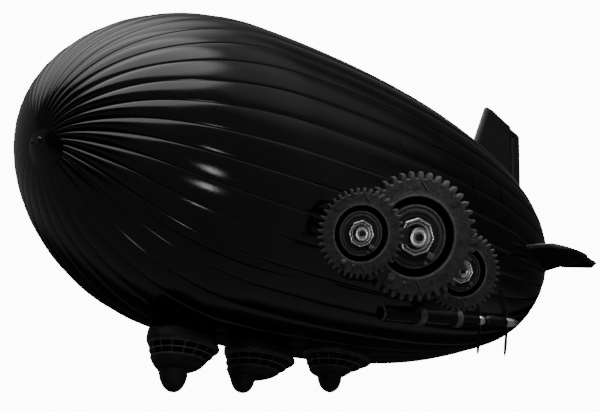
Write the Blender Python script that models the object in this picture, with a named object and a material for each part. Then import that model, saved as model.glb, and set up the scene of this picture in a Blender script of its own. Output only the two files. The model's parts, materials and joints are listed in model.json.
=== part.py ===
"""Airship with a ribbed envelope, three gondolas, tail fins, tandem engine pods and side gear trains.

Metres, +Z up, nose towards +X, port side towards +Y. The origin is the envelope's centre of volume.
"""
import math

import bmesh
import bpy
import numpy as np
from mathutils import Matrix, Vector

# Round hull: two superellipse quarters that meet at the widest station, bent up at the nose
HULL_LENGTH = 35.09
NOSE_X = 16.79                 # the nose, ahead of the centre of volume
HULL_RADIUS = 8.27             # over the crowns of the gores
WIDEST = 11.41                 # distance of the widest station from the nose
NOSE_POWERS = (2.03, 1.70)     # exponent of the length, exponent of the radius
TAIL_POWERS = (2.07, 2.64)
NOSE_RISE = 0.55               # the axis ends this much higher at the nose
TAIL_DROP = 0.19               # and this much lower at the tail
SHELL = 0.010                  # envelope wall
GORES = 34
SEAM_DEPTH = 0.020             # depth of a seam under the crowns beside it, per metre of hull radius
POLE_DROP = 1.30               # the gores meet this far below the axis at the nose
POLE_REACH = 6.0               # hull radius past which the gores run straight
BELLY_LIFT = 0.32              # the belly is flattened by this much at most
BELLY_START = 9.0              # station where the flat belly begins
BELLY_FULL = 21.0              # station where it has its whole lift
SEAT = 0.0004                  # gap that parts keep to what carries them
OPENING = 0.75                 # radius of the envelope's mouth under the nose cap
NOSE_ROWS = 8
TAIL_ROWS = 9

# Caps at the two ends: reach from the pole and height
NOSE_CAP_REACH = 1.15
NOSE_CAP_HEIGHT = 0.16
TAIL_CAP_REACH = 1.1
TAIL_CAP_HEIGHT = 0.16
NOSE_CAP_SINK = 0.12           # the cap's rim lies this far behind the hull's end
TAIL_CAP_SINK = 0.14
NOSE_CAP_DROOP = -0.17         # slope of the nose cap's axis, downwards
CAP_DEPTH = 0.5                # before the hull trims it

# Gondolas
# columns: middle of the cabin's foot, depth of the collar, how far the cabin's top lies further aft,
# half length and half width of the foot, depths of bowl and lobe, lobe's shift forward, its half
# length and half width
GONDOLAS = {
    "front": (7.20, 1.455, 0.33, 1.56, 1.15, 0.57, 1.15, 0.32, 0.74, 0.67),
    "middle": (2.03, 1.160, 0.51, 1.46, 1.10, 0.41, 0.86, 0.69, 0.64, 0.58),
    "rear": (-3.60, 0.520, 0.55, 1.12, 1.00, 0.26, 0.91, 0.02, 0.64, 0.58),
}
GONDOLA_SIDES = 28
PANES = 16
WALL = 0.05
CABIN_DEPTH = 0.74
CABIN_TOP = (2.08, 1.30)       # half length, half width
COLLAR_RISE = 1.4              # above the keel line, before the hull trims it
# Collar, outside: columns are height over the cabin, half length, half width
COLLAR_SECTIONS = (
    (0.44, 2.12, 1.33),
    (0.12, 2.16, 1.36),
    (0.00, 2.08, 1.30),
)
NECK_FOOT = 0.48               # over the cabin; the collar is narrower from here up
NECK_PLAN = (1.92, 1.22)
NECK_FLARE = 0.06              # the neck widens by this much towards the hull
NECK_WALL = 0.10
# Bowl under the cabin: columns are share of its depth, share of the way from foot to lobe in plan
BOWL_SECTIONS = (
    (0.00, 0.00),
    (0.45, 0.22),
    (0.80, 0.55),
    (1.00, 0.92),
)
# Hollow of the bowl in the same shares; the last row is the floor
BOWL_HOLLOW = (
    (0.00, 0.00),
    (0.65, 0.41),
)
FLOOR_INSET = 0.08             # between the floor's edge and that plan
# Lobe: columns are share of its depth, share of its plan
LOBE_SECTIONS = (
    (0.10, 1.00),
    (0.42, 0.96),
    (0.72, 0.74),
    (0.95, 0.32),
)

# Tail surfaces; outlines are chains of corners in the surface's own plane
FIN_THICK = 0.34
FIN_BEVEL = 0.30
TOP_FIN = (
    (-13.80, 4.6), (-14.32, 5.5), (-16.03, 9.42), (-16.30, 9.54), (-18.15, 8.76), (-18.15, 1.0),
    (-15.60, 1.0),
)
TOP_HINGE = (-18.32, 3.6, 8.3)          # x of the hinge line, and its lower and upper lugs
RUDDER = ((-18.24, 3.15), (-18.92, 3.35), (-18.94, 8.42), (-18.24, 8.70))
SIDE_FIN_Z = -1.0
SIDE_FIN = ((-12.00, 4.4), (-12.85, 6.55), (-13.25, 7.05), (-14.80, 7.42), (-16.45, 7.02), (-16.45, 3.0))
SIDE_HINGE = (-16.62, 5.40, 6.50)       # x of the hinge line, and its inner and outer lugs
ELEVATOR = ((-16.54, 4.85), (-18.00, 6.05), (-17.62, 6.66), (-16.54, 6.96))
PIN_RADIUS = 0.045
PIN_SIDES = 10
LUG_HEIGHT = 0.22
PIN_LENGTH = 0.50
RUNNING_GAP = 0.0005                    # radial play of a pin in its bore

STARBOARD_RISE = 40.0                   # degrees that gears and engines sit higher round that side

# Side gears: centre of the main gear, direction of the common axis, and the three wheels
GEAR_CENTRE = (-0.22, 9.50, -4.16)
GEAR_YAW = 66.0
GEAR_PITCH = -22.0
TEETH = 40
# columns: offset aft, offset up, middle plane, thickness, tip radius, axle radius
WHEELS = {
    "front": (-3.15, -0.14, 0.60, 0.30, 2.30, 0.22),
    "main": (0.00, 0.00, 0.00, 0.50, 3.30, 0.32),
    "rear": (2.92, -1.50, -0.45, 0.28, 2.10, 0.22),
}
# Parts of a wheel, as shares of its tip radius
ROOT_SHARE = 0.895
RECESS_SHARE = 0.615
DISC_SHARE = 0.515
NUT_SHARE = 0.300
RECESS_DEPTH_SHARE = 0.42      # of the thickness
DISC_RISE_SHARE = 0.16         # of the thickness
NUT_SIDES = 8
ARM_BACK = 0.32                # the arm lies between these planes
ARM_FRONT = 0.42
ARM_HALF = 0.42
POST_RADII = {"main": 0.80, "rear": 0.55}
POST_ROOT = -5.5               # foot of the posts and of the web, inside the hull before it trims them
WEB_ROOT = -5.2
WEB_HALF = 0.16
ARM_BOSSES = (0.50, 0.55)      # radii on the main axle and under the front wheel
SIDE_PLAY = 0.012              # gap between a wheel and the faces beside it

# Tandem engine pods: front end of the pod's axis and its direction
POD_START = (-0.75, 6.49, -7.42)
POD_DIRECTION = (-0.985, 0.119, 0.122)
SPINDLE = 0.12
PROP_RADIUS = 1.80
FRONT_PROP_AT = 6.75
REAR_PROP_AT = 8.62
# columns: distance along the axis, radius
FRONT_POD = ((0.00, 0.34), (0.10, 0.40), (2.30, 0.44), (2.34, 0.48), (2.80, 0.48), (2.84, 0.44), (4.80, 0.42),
             (4.84, 0.46), (5.28, 0.46), (5.32, 0.31), (6.30, 0.28), (6.56, 0.24))
REAR_POD = ((7.02, 0.20), (7.25, 0.32), (7.90, 0.34), (8.30, 0.26), (8.44, 0.22))
BLADE_CONE = 0.18              # slope of the blades, forward
# Blade: columns are distance from the shaft, half chord, half thickness, pitch in degrees
BLADE_SECTIONS = (
    (0.10, 0.09, 0.05, 26.0),
    (0.55, 0.17, 0.035, 19.0),
    (1.15, 0.18, 0.025, 13.0),
    (1.65, 0.13, 0.015, 9.0),
    (PROP_RADIUS, 0.05, 0.010, 8.0),
)
PARKED = {"port": 4.0, "starboard": 50.0}   # degrees that the blades stand turned from upright
WING_FROM = 3.0                # between the pod's two bands
WING_TO = 4.6
WING_THICK = 0.16
WING_FLARE = 0.6               # the wing is longer by this much at each end of its root
WING_REACH = 4.5               # depth of the root below the pod's axis, before the hull trims it

MATERIALS = {
    # name: (colour, roughness, metallic)
    "envelope_black": ((0.016, 0.016, 0.017), 0.32, 0.0),
    "cap_black": ((0.012, 0.012, 0.013), 0.35, 0.0),
    "cabin_grey": ((0.070, 0.070, 0.070), 0.55, 0.0),
    "fin_grey": ((0.035, 0.035, 0.036), 0.40, 0.0),
    "pod_grey": ((0.025, 0.025, 0.026), 0.35, 0.3),
    "worn_iron": ((0.11, 0.11, 0.11), 0.60, 0.8),
    "bright_steel": ((0.65, 0.65, 0.65), 0.25, 1.0),
}


def clear_scene():
    for obj in list(bpy.data.objects):
        bpy.data.objects.remove(obj, do_unlink=True)


def material(name):
    found = bpy.data.materials.get(name)
    if found:
        return found
    colour, roughness, metallic = MATERIALS[name]
    made = bpy.data.materials.new(name)
    made.use_nodes = True
    shader = made.node_tree.nodes["Principled BSDF"]
    shader.inputs["Base Color"].default_value = (*colour, 1.0)
    shader.inputs["Roughness"].default_value = roughness
    shader.inputs["Metallic"].default_value = metallic
    return made


def add_mesh(name, verts, faces, finish, frame=None, sharp=35.0):
    """Make an object from points and faces, facing outwards; frame places its own axes."""
    mesh = bpy.data.meshes.new(name)
    mesh.from_pydata([tuple(float(c) for c in v) for v in verts], [], [tuple(f) for f in faces])
    work = bmesh.new()
    work.from_mesh(mesh)
    bmesh.ops.recalc_face_normals(work, faces=work.faces)
    work.to_mesh(mesh)
    work.free()
    mesh.shade_smooth()
    mesh.set_sharp_from_angle(angle=math.radians(sharp))
    mesh.materials.append(material(finish))
    obj = bpy.data.objects.new(name, mesh)
    bpy.context.scene.collection.objects.link(obj)
    if frame is not None:
        obj.matrix_world = frame
    return obj


def boolean(obj, other, operation):
    step = obj.modifiers.new(operation.lower() + "_" + other.name[:40], "BOOLEAN")
    step.operation = operation
    step.object = other


def as_cutter(obj):
    obj.hide_render = True
    obj.display_type = "WIRE"
    return obj


# The hull's surface

def hull_radius(station):
    nose = np.clip((WIDEST - station) / WIDEST, 0.0, 1.0)
    tail = np.clip((station - WIDEST) / (HULL_LENGTH - WIDEST), 0.0, 1.0)
    p, q = NOSE_POWERS
    front = (1.0 - nose ** p) ** (1.0 / q)
    p, q = TAIL_POWERS
    back = (1.0 - tail ** p) ** (1.0 / q)
    return HULL_RADIUS * np.where(station < WIDEST, front, back)


def nose_station(radius):
    """Station ahead of the widest one where the hull has this radius."""
    p, q = NOSE_POWERS
    share = np.clip(radius / HULL_RADIUS, 0.0, 1.0)
    return WIDEST * (1.0 - (1.0 - share ** q) ** (1.0 / p))


def belly_lift(station):
    rise = np.clip((station - BELLY_START) / (BELLY_FULL - BELLY_START), 0.0, 1.0)
    smooth = rise * rise * (3.0 - 2.0 * rise)
    return BELLY_LIFT * smooth * hull_radius(station) / HULL_RADIUS


def seam_depth(radius, angle):
    """All of the depth on a seam, nothing on the crown midway between two seams."""
    phase = angle * GORES / (2.0 * math.pi)
    return SEAM_DEPTH * radius * np.cos(math.pi * phase) ** 2


def axis_bend(station):
    """Height of the hull's axis: it rises ahead of the widest station and falls behind it."""
    ahead = np.clip((WIDEST - station) / WIDEST, 0.0, 1.0)
    behind = np.clip((station - WIDEST) / (HULL_LENGTH - WIDEST), 0.0, 1.0)
    return NOSE_RISE * ahead ** 2 - TAIL_DROP * behind ** 2


def hull_point(station, angle, offset=0.0):
    """Points of the ribbed hull; angle is 0 at the top and grows to port, offset is outwards."""
    station, angle = np.broadcast_arrays(np.asarray(station, float), np.asarray(angle, float))
    radius = hull_radius(station)
    y = radius * np.sin(angle)
    z = radius * np.cos(angle)
    near = np.clip(1.0 - radius / POLE_REACH, 0.0, 1.0) ** 2 * (station < WIDEST)
    z = z - POLE_DROP * near
    moved = np.hypot(y, z)
    station = np.where(near > 0.0, nose_station(moved), station)
    radius = np.where(near > 0.0, moved, radius)
    step = 0.01
    after = np.minimum(station + step, HULL_LENGTH)
    before = np.maximum(station - step, 0.0)
    slope = (hull_radius(after) - hull_radius(before)) / (after - before)
    length = np.sqrt(1.0 + slope ** 2)
    out = offset - seam_depth(hull_radius(station), angle)
    safe = np.maximum(radius, 1e-9)
    around_y = np.where(radius > 1e-6, y / safe, 0.0)
    around_z = np.where(radius > 1e-6, z / safe, 0.0)
    at_pole = (radius <= 1e-6)
    forward = np.where(at_pole, np.where(station < WIDEST, 1.0, -1.0), slope / length)
    outward = np.where(at_pole, 0.0, 1.0 / length)
    x = NOSE_X - station + forward * out
    y = y + around_y * outward * out
    z = z + around_z * outward * out
    lift = belly_lift(station)
    width = np.maximum(0.5 * lift, 1e-4)
    limit = radius - lift + outward * out
    depth = -z
    low = np.minimum(depth, limit)
    depth = np.where(lift > 1e-3, low - width * np.log1p(np.exp(-np.abs(depth - limit) / width)), depth)
    return np.stack([x, y, axis_bend(station) - depth], axis=-1)


def hull_stations(opening=0.0):
    """Stations of the hull's rows, close together at both ends."""
    first = math.acos(1.0 - float(nose_station(opening)) / WIDEST)
    nose = WIDEST * (1.0 - np.cos(np.linspace(first, math.pi / 2.0, NOSE_ROWS)))
    tail = WIDEST + (HULL_LENGTH - WIDEST) * np.sin(np.linspace(0.0, math.pi / 2.0, TAIL_ROWS))
    return np.concatenate([nose, tail[1:]])


def seam_angles():
    return np.arange(2 * GORES) * math.pi / GORES


def strips(first, rows, count, flip=False):
    """Triangles between rows of points; each row is a closed ring of count points."""
    faces = []
    for row in range(rows - 1):
        for k in range(count):
            a = first + row * count + k
            b = first + row * count + (k + 1) % count
            c, d = a + count, b + count
            faces += [(a, b, d), (a, d, c)] if not flip else [(a, d, b), (a, c, d)]
    return faces


def ring_fan(first, count, centre):
    return [(first + k, first + (k + 1) % count, centre) for k in range(count)]


def envelope():
    """Shell of gores, open at the nose, closed at the tail."""
    stations = hull_stations(OPENING)[:-1]
    angles = seam_angles()
    count = len(angles)
    rows = len(stations)
    outer = hull_point(stations[:, None], angles[None, :]).reshape(-1, 3)
    inner = hull_point(stations[:, None], angles[None, :], -SHELL).reshape(-1, 3)
    verts = list(outer) + list(inner) + [hull_point(HULL_LENGTH, 0.0), hull_point(HULL_LENGTH, 0.0, -SHELL)]
    faces = strips(0, rows, count) + strips(rows * count, rows, count, flip=True)
    faces += ring_fan((rows - 1) * count, count, 2 * rows * count)
    faces += ring_fan((2 * rows - 1) * count, count, 2 * rows * count + 1)
    for k in range(count):
        n = (k + 1) % count
        faces.append((k, n, rows * count + n, rows * count + k))
    return add_mesh("envelope", verts, faces, "envelope_black", sharp=8.0)


def hull_cutter():
    """The hull as a full solid, a seat's gap larger, which trims everything that stands on it."""
    opening = hull_stations(OPENING)[:-1]
    angles = seam_angles()
    count = len(angles)
    rows = len(opening)
    points = hull_point(opening[:, None], angles[None, :], SEAT).reshape(-1, 3)
    verts = list(points) + [hull_point(0.0, 0.0, SEAT), hull_point(HULL_LENGTH, 0.0, SEAT)]
    faces = strips(0, rows, count)
    faces += ring_fan(0, count, rows * count)
    faces += ring_fan((rows - 1) * count, count, rows * count + 1)
    return as_cutter(add_mesh("hull_cutter", verts, faces, "envelope_black"))


def lens(name, centre, axis, reach, height, depth, finish):
    """A low dome on the hull with a flat top, trimmed by the hull underneath."""
    sides, rows = 24, 3
    verts = []
    turns = np.linspace(0.0, 2.0 * math.pi, sides, endpoint=False)
    frame = axis.to_track_quat("Z", "Y").to_matrix().to_4x4()
    frame.translation = centre
    rim = [(reach * math.cos(t), reach * math.sin(t), -depth) for t in turns]
    verts += rim
    for row in range(rows):
        share = math.radians(90.0 * row / rows)
        verts += [(reach * math.cos(share) * math.cos(t), reach * math.cos(share) * math.sin(t),
                   height * math.sin(share)) for t in turns]
    faces = strips(0, rows + 1, sides)
    faces += [tuple(range(sides)), tuple(rows * sides + k for k in range(sides))]
    return add_mesh(name, verts, faces, finish, frame)


def caps(cutter):
    pole = Vector(hull_point(0.0, 0.0))
    nose_axis = Vector((1.0, 0.0, NOSE_CAP_DROOP)).normalized()
    nose = lens("nose_cap", pole - Vector((NOSE_CAP_SINK, 0.0, 0.0)), nose_axis,
                NOSE_CAP_REACH, NOSE_CAP_HEIGHT + NOSE_CAP_SINK, CAP_DEPTH, "cap_black")
    tail_start = Vector(hull_point(HULL_LENGTH, 0.0)) + Vector((TAIL_CAP_SINK, 0.0, 0.0))
    tail = lens("tail_cap", tail_start, Vector((-1.0, 0.0, 0.0)),
                TAIL_CAP_REACH, TAIL_CAP_HEIGHT + TAIL_CAP_SINK, CAP_DEPTH, "cap_black")
    for cap in (nose, tail):
        boolean(cap, cutter, "DIFFERENCE")


# Gondolas

def plan_ring(half_length, half_width, shift, z, sides=GONDOLA_SIDES):
    turns = np.arange(sides) * 2.0 * math.pi / sides
    return [(shift + half_length * math.cos(t), half_width * math.sin(t), z) for t in turns]


def gondola_collar(name, at, depth, cutter):
    """Neck and skirt between the hull and the cabin, open inside; the origin is the cabin's top."""
    top = depth + COLLAR_RISE
    neck_length, neck_width = NECK_PLAN
    inner = (neck_length - NECK_WALL, neck_width - NECK_WALL)
    mouth = (CABIN_TOP[0] - WALL, CABIN_TOP[1] - WALL)
    verts = plan_ring(neck_length + NECK_FLARE, neck_width + NECK_FLARE, 0.0, top)
    verts += plan_ring(neck_length, neck_width, 0.0, NECK_FOOT)
    for height, length, width in COLLAR_SECTIONS:
        verts += plan_ring(length, width, 0.0, height)
    verts += plan_ring(*mouth, 0.0, 0.0)
    verts += plan_ring(*inner, 0.0, COLLAR_SECTIONS[0][0])
    verts += plan_ring(*inner, 0.0, top)
    count, rows = GONDOLA_SIDES, len(COLLAR_SECTIONS) + 5
    faces = strips(0, rows, count)
    last = (rows - 1) * count
    faces += [(k, (k + 1) % count, last + (k + 1) % count, last + k) for k in range(count)]
    collar = add_mesh(name, verts, faces, "cabin_grey", Matrix.Translation(at))
    boolean(collar, cutter, "DIFFERENCE")


def gondola_cabin(name, at, rake, foot):
    """Cabin wall with two rows of windows all round; it leans forward towards its foot."""
    count = 2 * PANES
    # columns: height share from the top, whether the band below this row is glazed
    bands = ((0.00, False), (0.10, True), (0.46, False), (0.54, True), (0.90, False), (1.00, False))
    glazed_post = 0.82
    turns = []
    for k in range(PANES):
        start = 2.0 * math.pi * k / PANES
        turns += [start, start + glazed_post * 2.0 * math.pi / PANES]
    verts = []
    for inward in (0.0, WALL):
        for share, _ in bands:
            length = CABIN_TOP[0] + (foot[0] - CABIN_TOP[0]) * share - inward
            width = CABIN_TOP[1] + (foot[1] - CABIN_TOP[1]) * share - inward
            verts += [(rake * share + length * math.cos(t), width * math.sin(t), -CABIN_DEPTH * share)
                      for t in turns]
    rows = len(bands)
    layer = rows * count

    def corner(side, row, k):
        return side * layer + row * count + k % count

    def is_open(row, k):
        return bands[row][1] and k % 2 == 0

    faces = []
    for row in range(rows - 1):
        for k in range(count):
            if is_open(row, k):
                ring = [(row, k), (row, k + 1), (row + 1, k + 1), (row + 1, k)]
                for (r1, k1), (r2, k2) in zip(ring, ring[1:] + ring[:1]):
                    faces.append((corner(0, r1, k1), corner(0, r2, k2), corner(1, r2, k2), corner(1, r1, k1)))
                continue
            for side in (0, 1):
                faces.append((corner(side, row, k), corner(side, row, k + 1),
                              corner(side, row + 1, k + 1), corner(side, row + 1, k)))
    for row in (0, rows - 1):
        for k in range(count):
            faces.append((corner(0, row, k), corner(0, row, k + 1), corner(1, row, k + 1), corner(1, row, k)))
    return add_mesh(name, verts, faces, "cabin_grey", Matrix.Translation(at))


def gondola_belly(name, at, foot, bowl, lobe, shift, lobe_plan):
    """Bowl under the cabin with a floor inside, and the lobe that hangs from it."""
    count = GONDOLA_SIDES

    def ring(share, blend, inward):
        length = foot[0] + (lobe_plan[0] - foot[0]) * blend - inward
        width = foot[1] + (lobe_plan[1] - foot[1]) * blend - inward
        return plan_ring(length, width, shift * blend, -bowl * share)

    verts = []
    for share, blend in reversed(BOWL_HOLLOW):
        verts += ring(share, blend, FLOOR_INSET)
    for share, blend in BOWL_SECTIONS:
        verts += ring(share, blend, 0.0)
    for share, size in LOBE_SECTIONS:
        verts += plan_ring(size * lobe_plan[0], size * lobe_plan[1], shift, -bowl - share * lobe)
    rows = len(BOWL_HOLLOW) + len(BOWL_SECTIONS) + len(LOBE_SECTIONS)
    floor_share, floor_blend = BOWL_HOLLOW[-1]
    verts += [(shift * floor_blend, 0.0, -bowl * floor_share), (shift, 0.0, -bowl - lobe)]
    faces = strips(0, rows, count)
    faces += ring_fan(0, count, rows * count)
    faces += ring_fan((rows - 1) * count, count, rows * count + 1)
    return add_mesh(name, verts, faces, "cabin_grey", Matrix.Translation(at), sharp=30.0)


def gondolas(cutter):
    for place, (x, depth, rake, length, width, bowl, lobe, shift, *lobe_plan) in GONDOLAS.items():
        keel = float(hull_point(NOSE_X - x + rake, math.pi)[2])
        top = Vector((x - rake, 0.0, keel - depth))
        gondola_collar(f"{place}_gondola_collar", top, depth, cutter)
        cabin_top = top - Vector((0.0, 0.0, SEAT))
        gondola_cabin(f"{place}_gondola_cabin", cabin_top, rake, (length, width))
        belly_top = cabin_top + Vector((rake, 0.0, -CABIN_DEPTH - SEAT))
        gondola_belly(f"{place}_gondola_belly", belly_top, (length, width), bowl, lobe, shift, lobe_plan)


# Tail surfaces

def inset(corners, distance):
    """Corners of a convex outline moved inwards by distance."""
    middle = sum((Vector(c) for c in corners), Vector((0.0, 0.0))) / len(corners)
    moved = []
    for k, corner in enumerate(corners):
        here = Vector(corner)
        before = (here - Vector(corners[k - 1])).normalized()
        after = (Vector(corners[(k + 1) % len(corners)]) - here).normalized()
        normals = []
        for edge in (before, after):
            normal = Vector((-edge.y, edge.x))
            normals.append(normal if normal.dot(middle - here) > 0.0 else -normal)
        across = normals[0] + normals[1]
        moved.append(here + across * (distance / max(0.4, 0.5 * across.length_squared)))
    return moved


def plate(name, corners, thick, edge, bevel, finish, frame):
    """Flat surface with an outline of corners in its own XY plane and bevelled edges."""
    inner = inset(corners, bevel)
    count = len(corners)
    verts = [(x, y, thick / 2) for x, y in inner]
    verts += [(x, y, edge / 2) for x, y in corners]
    verts += [(x, y, -edge / 2) for x, y in corners]
    verts += [(x, y, -thick / 2) for x, y in inner]
    faces = strips(0, 4, count)
    faces += [tuple(range(count)), tuple(3 * count + k for k in reversed(range(count)))]
    return add_mesh(name, verts, faces, finish, frame, sharp=5.0)


def rod(name, radius, start, end, frame, finish, sides=16, phase=0.0):
    """Cylinder between two points of a frame; phase turns its corners by a share of a side."""
    begin, finish_at = Vector(start), Vector(end)
    axis = finish_at - begin
    turn = axis.to_track_quat("Z", "X").to_matrix().to_4x4()
    turn.translation = begin
    turns = [2.0 * math.pi * (k + phase) / sides for k in range(sides)]
    verts = [(radius * math.cos(t), radius * math.sin(t), z) for z in (0.0, axis.length) for t in turns]
    faces = [(k, (k + 1) % sides, sides + (k + 1) % sides, sides + k) for k in range(sides)]
    faces += [tuple(range(sides)), tuple(sides + k for k in range(sides))]
    return add_mesh(name, verts, faces, finish, frame @ turn)


def block(name, low, high, frame, finish):
    xs, ys, zs = zip(low, high)
    verts = [(x, y, z) for x in xs for y in ys for z in zs]
    faces = [(0, 1, 3, 2), (4, 5, 7, 6), (0, 1, 5, 4), (2, 3, 7, 6), (0, 2, 6, 4), (1, 3, 7, 5)]
    return add_mesh(name, verts, faces, finish, frame)


def bore_radius(pin, sides=16):
    """Corner radius of a bore whose flats clear the pin's corners by the running gap."""
    return (pin + RUNNING_GAP) / math.cos(math.pi / sides)


def hinged_pair(fin_name, flap_name, fin, flap, hinge, frame, cutter):
    """Fixed fin and the flap behind it; lugs on the fin carry the flap on short pins.

    The frame's X runs along the chord and its Y along the hinge line.
    """
    hinge_x, low_lug, high_lug = hinge
    fixed = plate(fin_name, fin, FIN_THICK, 0.06, FIN_BEVEL, "fin_grey", frame)
    boolean(fixed, cutter, "DIFFERENCE")
    own = frame @ Matrix.Translation((hinge_x, 0.0, 0.0))
    shape = [(x - hinge_x, y) for x, y in flap]
    moving = plate(flap_name, shape, 0.22, 0.05, 0.10, "fin_grey", own)
    back = fin[-2][0] + 0.12
    for tag, at in (("low", low_lug), ("high", high_lug)):
        lug = block(f"{fin_name}_{tag}_lug", (hinge_x - 0.06, at - LUG_HEIGHT / 2, -0.06),
                    (back, at + LUG_HEIGHT / 2, 0.06), frame, "fin_grey")
        pin = rod(f"{fin_name}_{tag}_pin", PIN_RADIUS, (hinge_x, at - PIN_LENGTH / 2, 0.0),
                  (hinge_x, at + PIN_LENGTH / 2, 0.0), frame, "fin_grey", PIN_SIDES)
        notch = block(f"{flap_name}_{tag}_notch", (-0.10, at - LUG_HEIGHT / 2 - 0.01, -0.2),
                      (0.30, at + LUG_HEIGHT / 2 + 0.01, 0.2), own, "fin_grey")
        bore = rod(f"{flap_name}_{tag}_bore", bore_radius(PIN_RADIUS, PIN_SIDES),
                   (0.0, at - PIN_LENGTH / 2 - 0.01, 0.0), (0.0, at + PIN_LENGTH / 2 + 0.01, 0.0),
                   own, "fin_grey", PIN_SIDES, phase=0.5)
        for helper in (lug, pin, notch, bore):
            as_cutter(helper)
        boolean(fixed, lug, "UNION")
        boolean(fixed, pin, "UNION")
        boolean(moving, notch, "DIFFERENCE")
        boolean(moving, bore, "DIFFERENCE")


def tail_surfaces(cutter):
    upright = Matrix(((1, 0, 0, 0), (0, 0, -1, 0), (0, 1, 0, 0), (0, 0, 0, 1)))
    hinged_pair("top_fin", "rudder", TOP_FIN, RUDDER, TOP_HINGE, upright, cutter)
    for side, sign in (("port", 1.0), ("starboard", -1.0)):
        flat = Matrix.Translation((0.0, 0.0, SIDE_FIN_Z)) @ Matrix.Diagonal((1.0, sign, sign, 1.0))
        hinged_pair(f"{side}_fin", f"{side}_elevator", SIDE_FIN, ELEVATOR, SIDE_HINGE, flat, cutter)


# Side gears

def side_turn(sign):
    """Turn about the hull's axis that sets the starboard machinery higher than the port one."""
    return Matrix.Rotation(math.radians(-STARBOARD_RISE if sign < 0.0 else 0.0), 4, "X")


def gear_frame(sign):
    """Axes of a gear train: X aft, Y up and Z along the axles, away from the hull."""
    yaw, pitch = math.radians(GEAR_YAW), math.radians(GEAR_PITCH)
    axle = Vector((math.cos(pitch) * math.cos(yaw), math.cos(pitch) * math.sin(yaw), math.sin(pitch)))
    aft = Vector((-math.sin(yaw), math.cos(yaw), 0.0))
    up = axle.cross(aft)
    axle.y, aft.y, up.y = sign * axle.y, sign * aft.y, sign * up.y
    if sign < 0.0:
        aft = -aft
    frame = Matrix((aft, up, axle)).transposed().to_4x4()
    frame.translation = Vector((GEAR_CENTRE[0], sign * GEAR_CENTRE[1], GEAR_CENTRE[2]))
    return side_turn(sign) @ frame


def bridge(outer, inner):
    """Triangles between two rings of point numbers that start at the same angle."""
    n, m = len(outer), len(inner)
    faces, i, j = [], 0, 0
    while i < n or j < m:
        if j >= m or (i < n and (i + 1) * m <= (j + 1) * n):
            faces.append((outer[i % n], outer[(i + 1) % n], inner[j % m]))
            i += 1
        else:
            faces.append((outer[i % n], inner[(j + 1) % m], inner[j % m]))
            j += 1
    return faces


def gear(name, tip, thick, axle, frame):
    """Toothed wheel with a deep round recess, a hub disc raised in it and a plain bore."""
    sides = TEETH
    outline = []
    step = 2.0 * math.pi / TEETH
    root = ROOT_SHARE * tip
    # columns: angle as a share of the tooth step, radius
    tooth = ((0.00, root), (0.17, tip * 0.985), (0.38, tip * 0.985), (0.55, root))
    for k in range(TEETH):
        outline += [((k + share) * step, radius) for share, radius in tooth]
    half = thick / 2.0
    recess = half - RECESS_DEPTH_SHARE * thick
    disc = recess + DISC_RISE_SHARE * thick
    bore = bore_radius(axle, sides)
    rings = []
    verts = []

    def ring(points, z):
        rings.append(list(range(len(verts), len(verts) + len(points))))
        verts.extend((radius * math.cos(t), radius * math.sin(t), z) for t, radius in points)

    def circle(radius):
        return [(k * step, radius) for k in range(sides)]

    ring(outline, -half)
    ring(outline, half)
    # columns: radius, height of each further ring on the way in to the bore
    for radius, z in ((RECESS_SHARE * tip, half), (RECESS_SHARE * tip, recess), (DISC_SHARE * tip, recess),
                      (DISC_SHARE * tip, disc), (bore, disc), (bore, -half)):
        ring(circle(radius), z)
    faces = []
    for near, far in zip(rings, rings[1:] + rings[:1]):
        faces += bridge(near, far)
    return add_mesh(name, verts, faces, "worn_iron", frame, sharp=30.0)


def ring_nut(name, radius, bore, low, high, frame, sides=NUT_SIDES):
    verts, rings = [], []
    edge = 0.3 * (high - low)
    for size, z, count in ((radius, low, sides), (radius, high - edge, sides), (radius - edge, high, sides),
                           (bore, high, 2 * sides), (bore, low, 2 * sides)):
        rings.append(list(range(len(verts), len(verts) + count)))
        verts += [(size * math.cos(2 * math.pi * k / count), size * math.sin(2 * math.pi * k / count), z)
                  for k in range(count)]
    faces = []
    for near, far in zip(rings, rings[1:] + rings[:1]):
        faces += bridge(near, far)
    return add_mesh(name, verts, faces, "bright_steel", frame, sharp=20.0)


def wheel_faces(place):
    """Heights of a wheel's back face, hub disc and front face along the axle."""
    _, _, middle, thick, _, _ = WHEELS[place]
    half = thick / 2.0
    disc = half - RECESS_DEPTH_SHARE * thick + DISC_RISE_SHARE * thick
    return middle - half, middle + disc, middle + half


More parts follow.
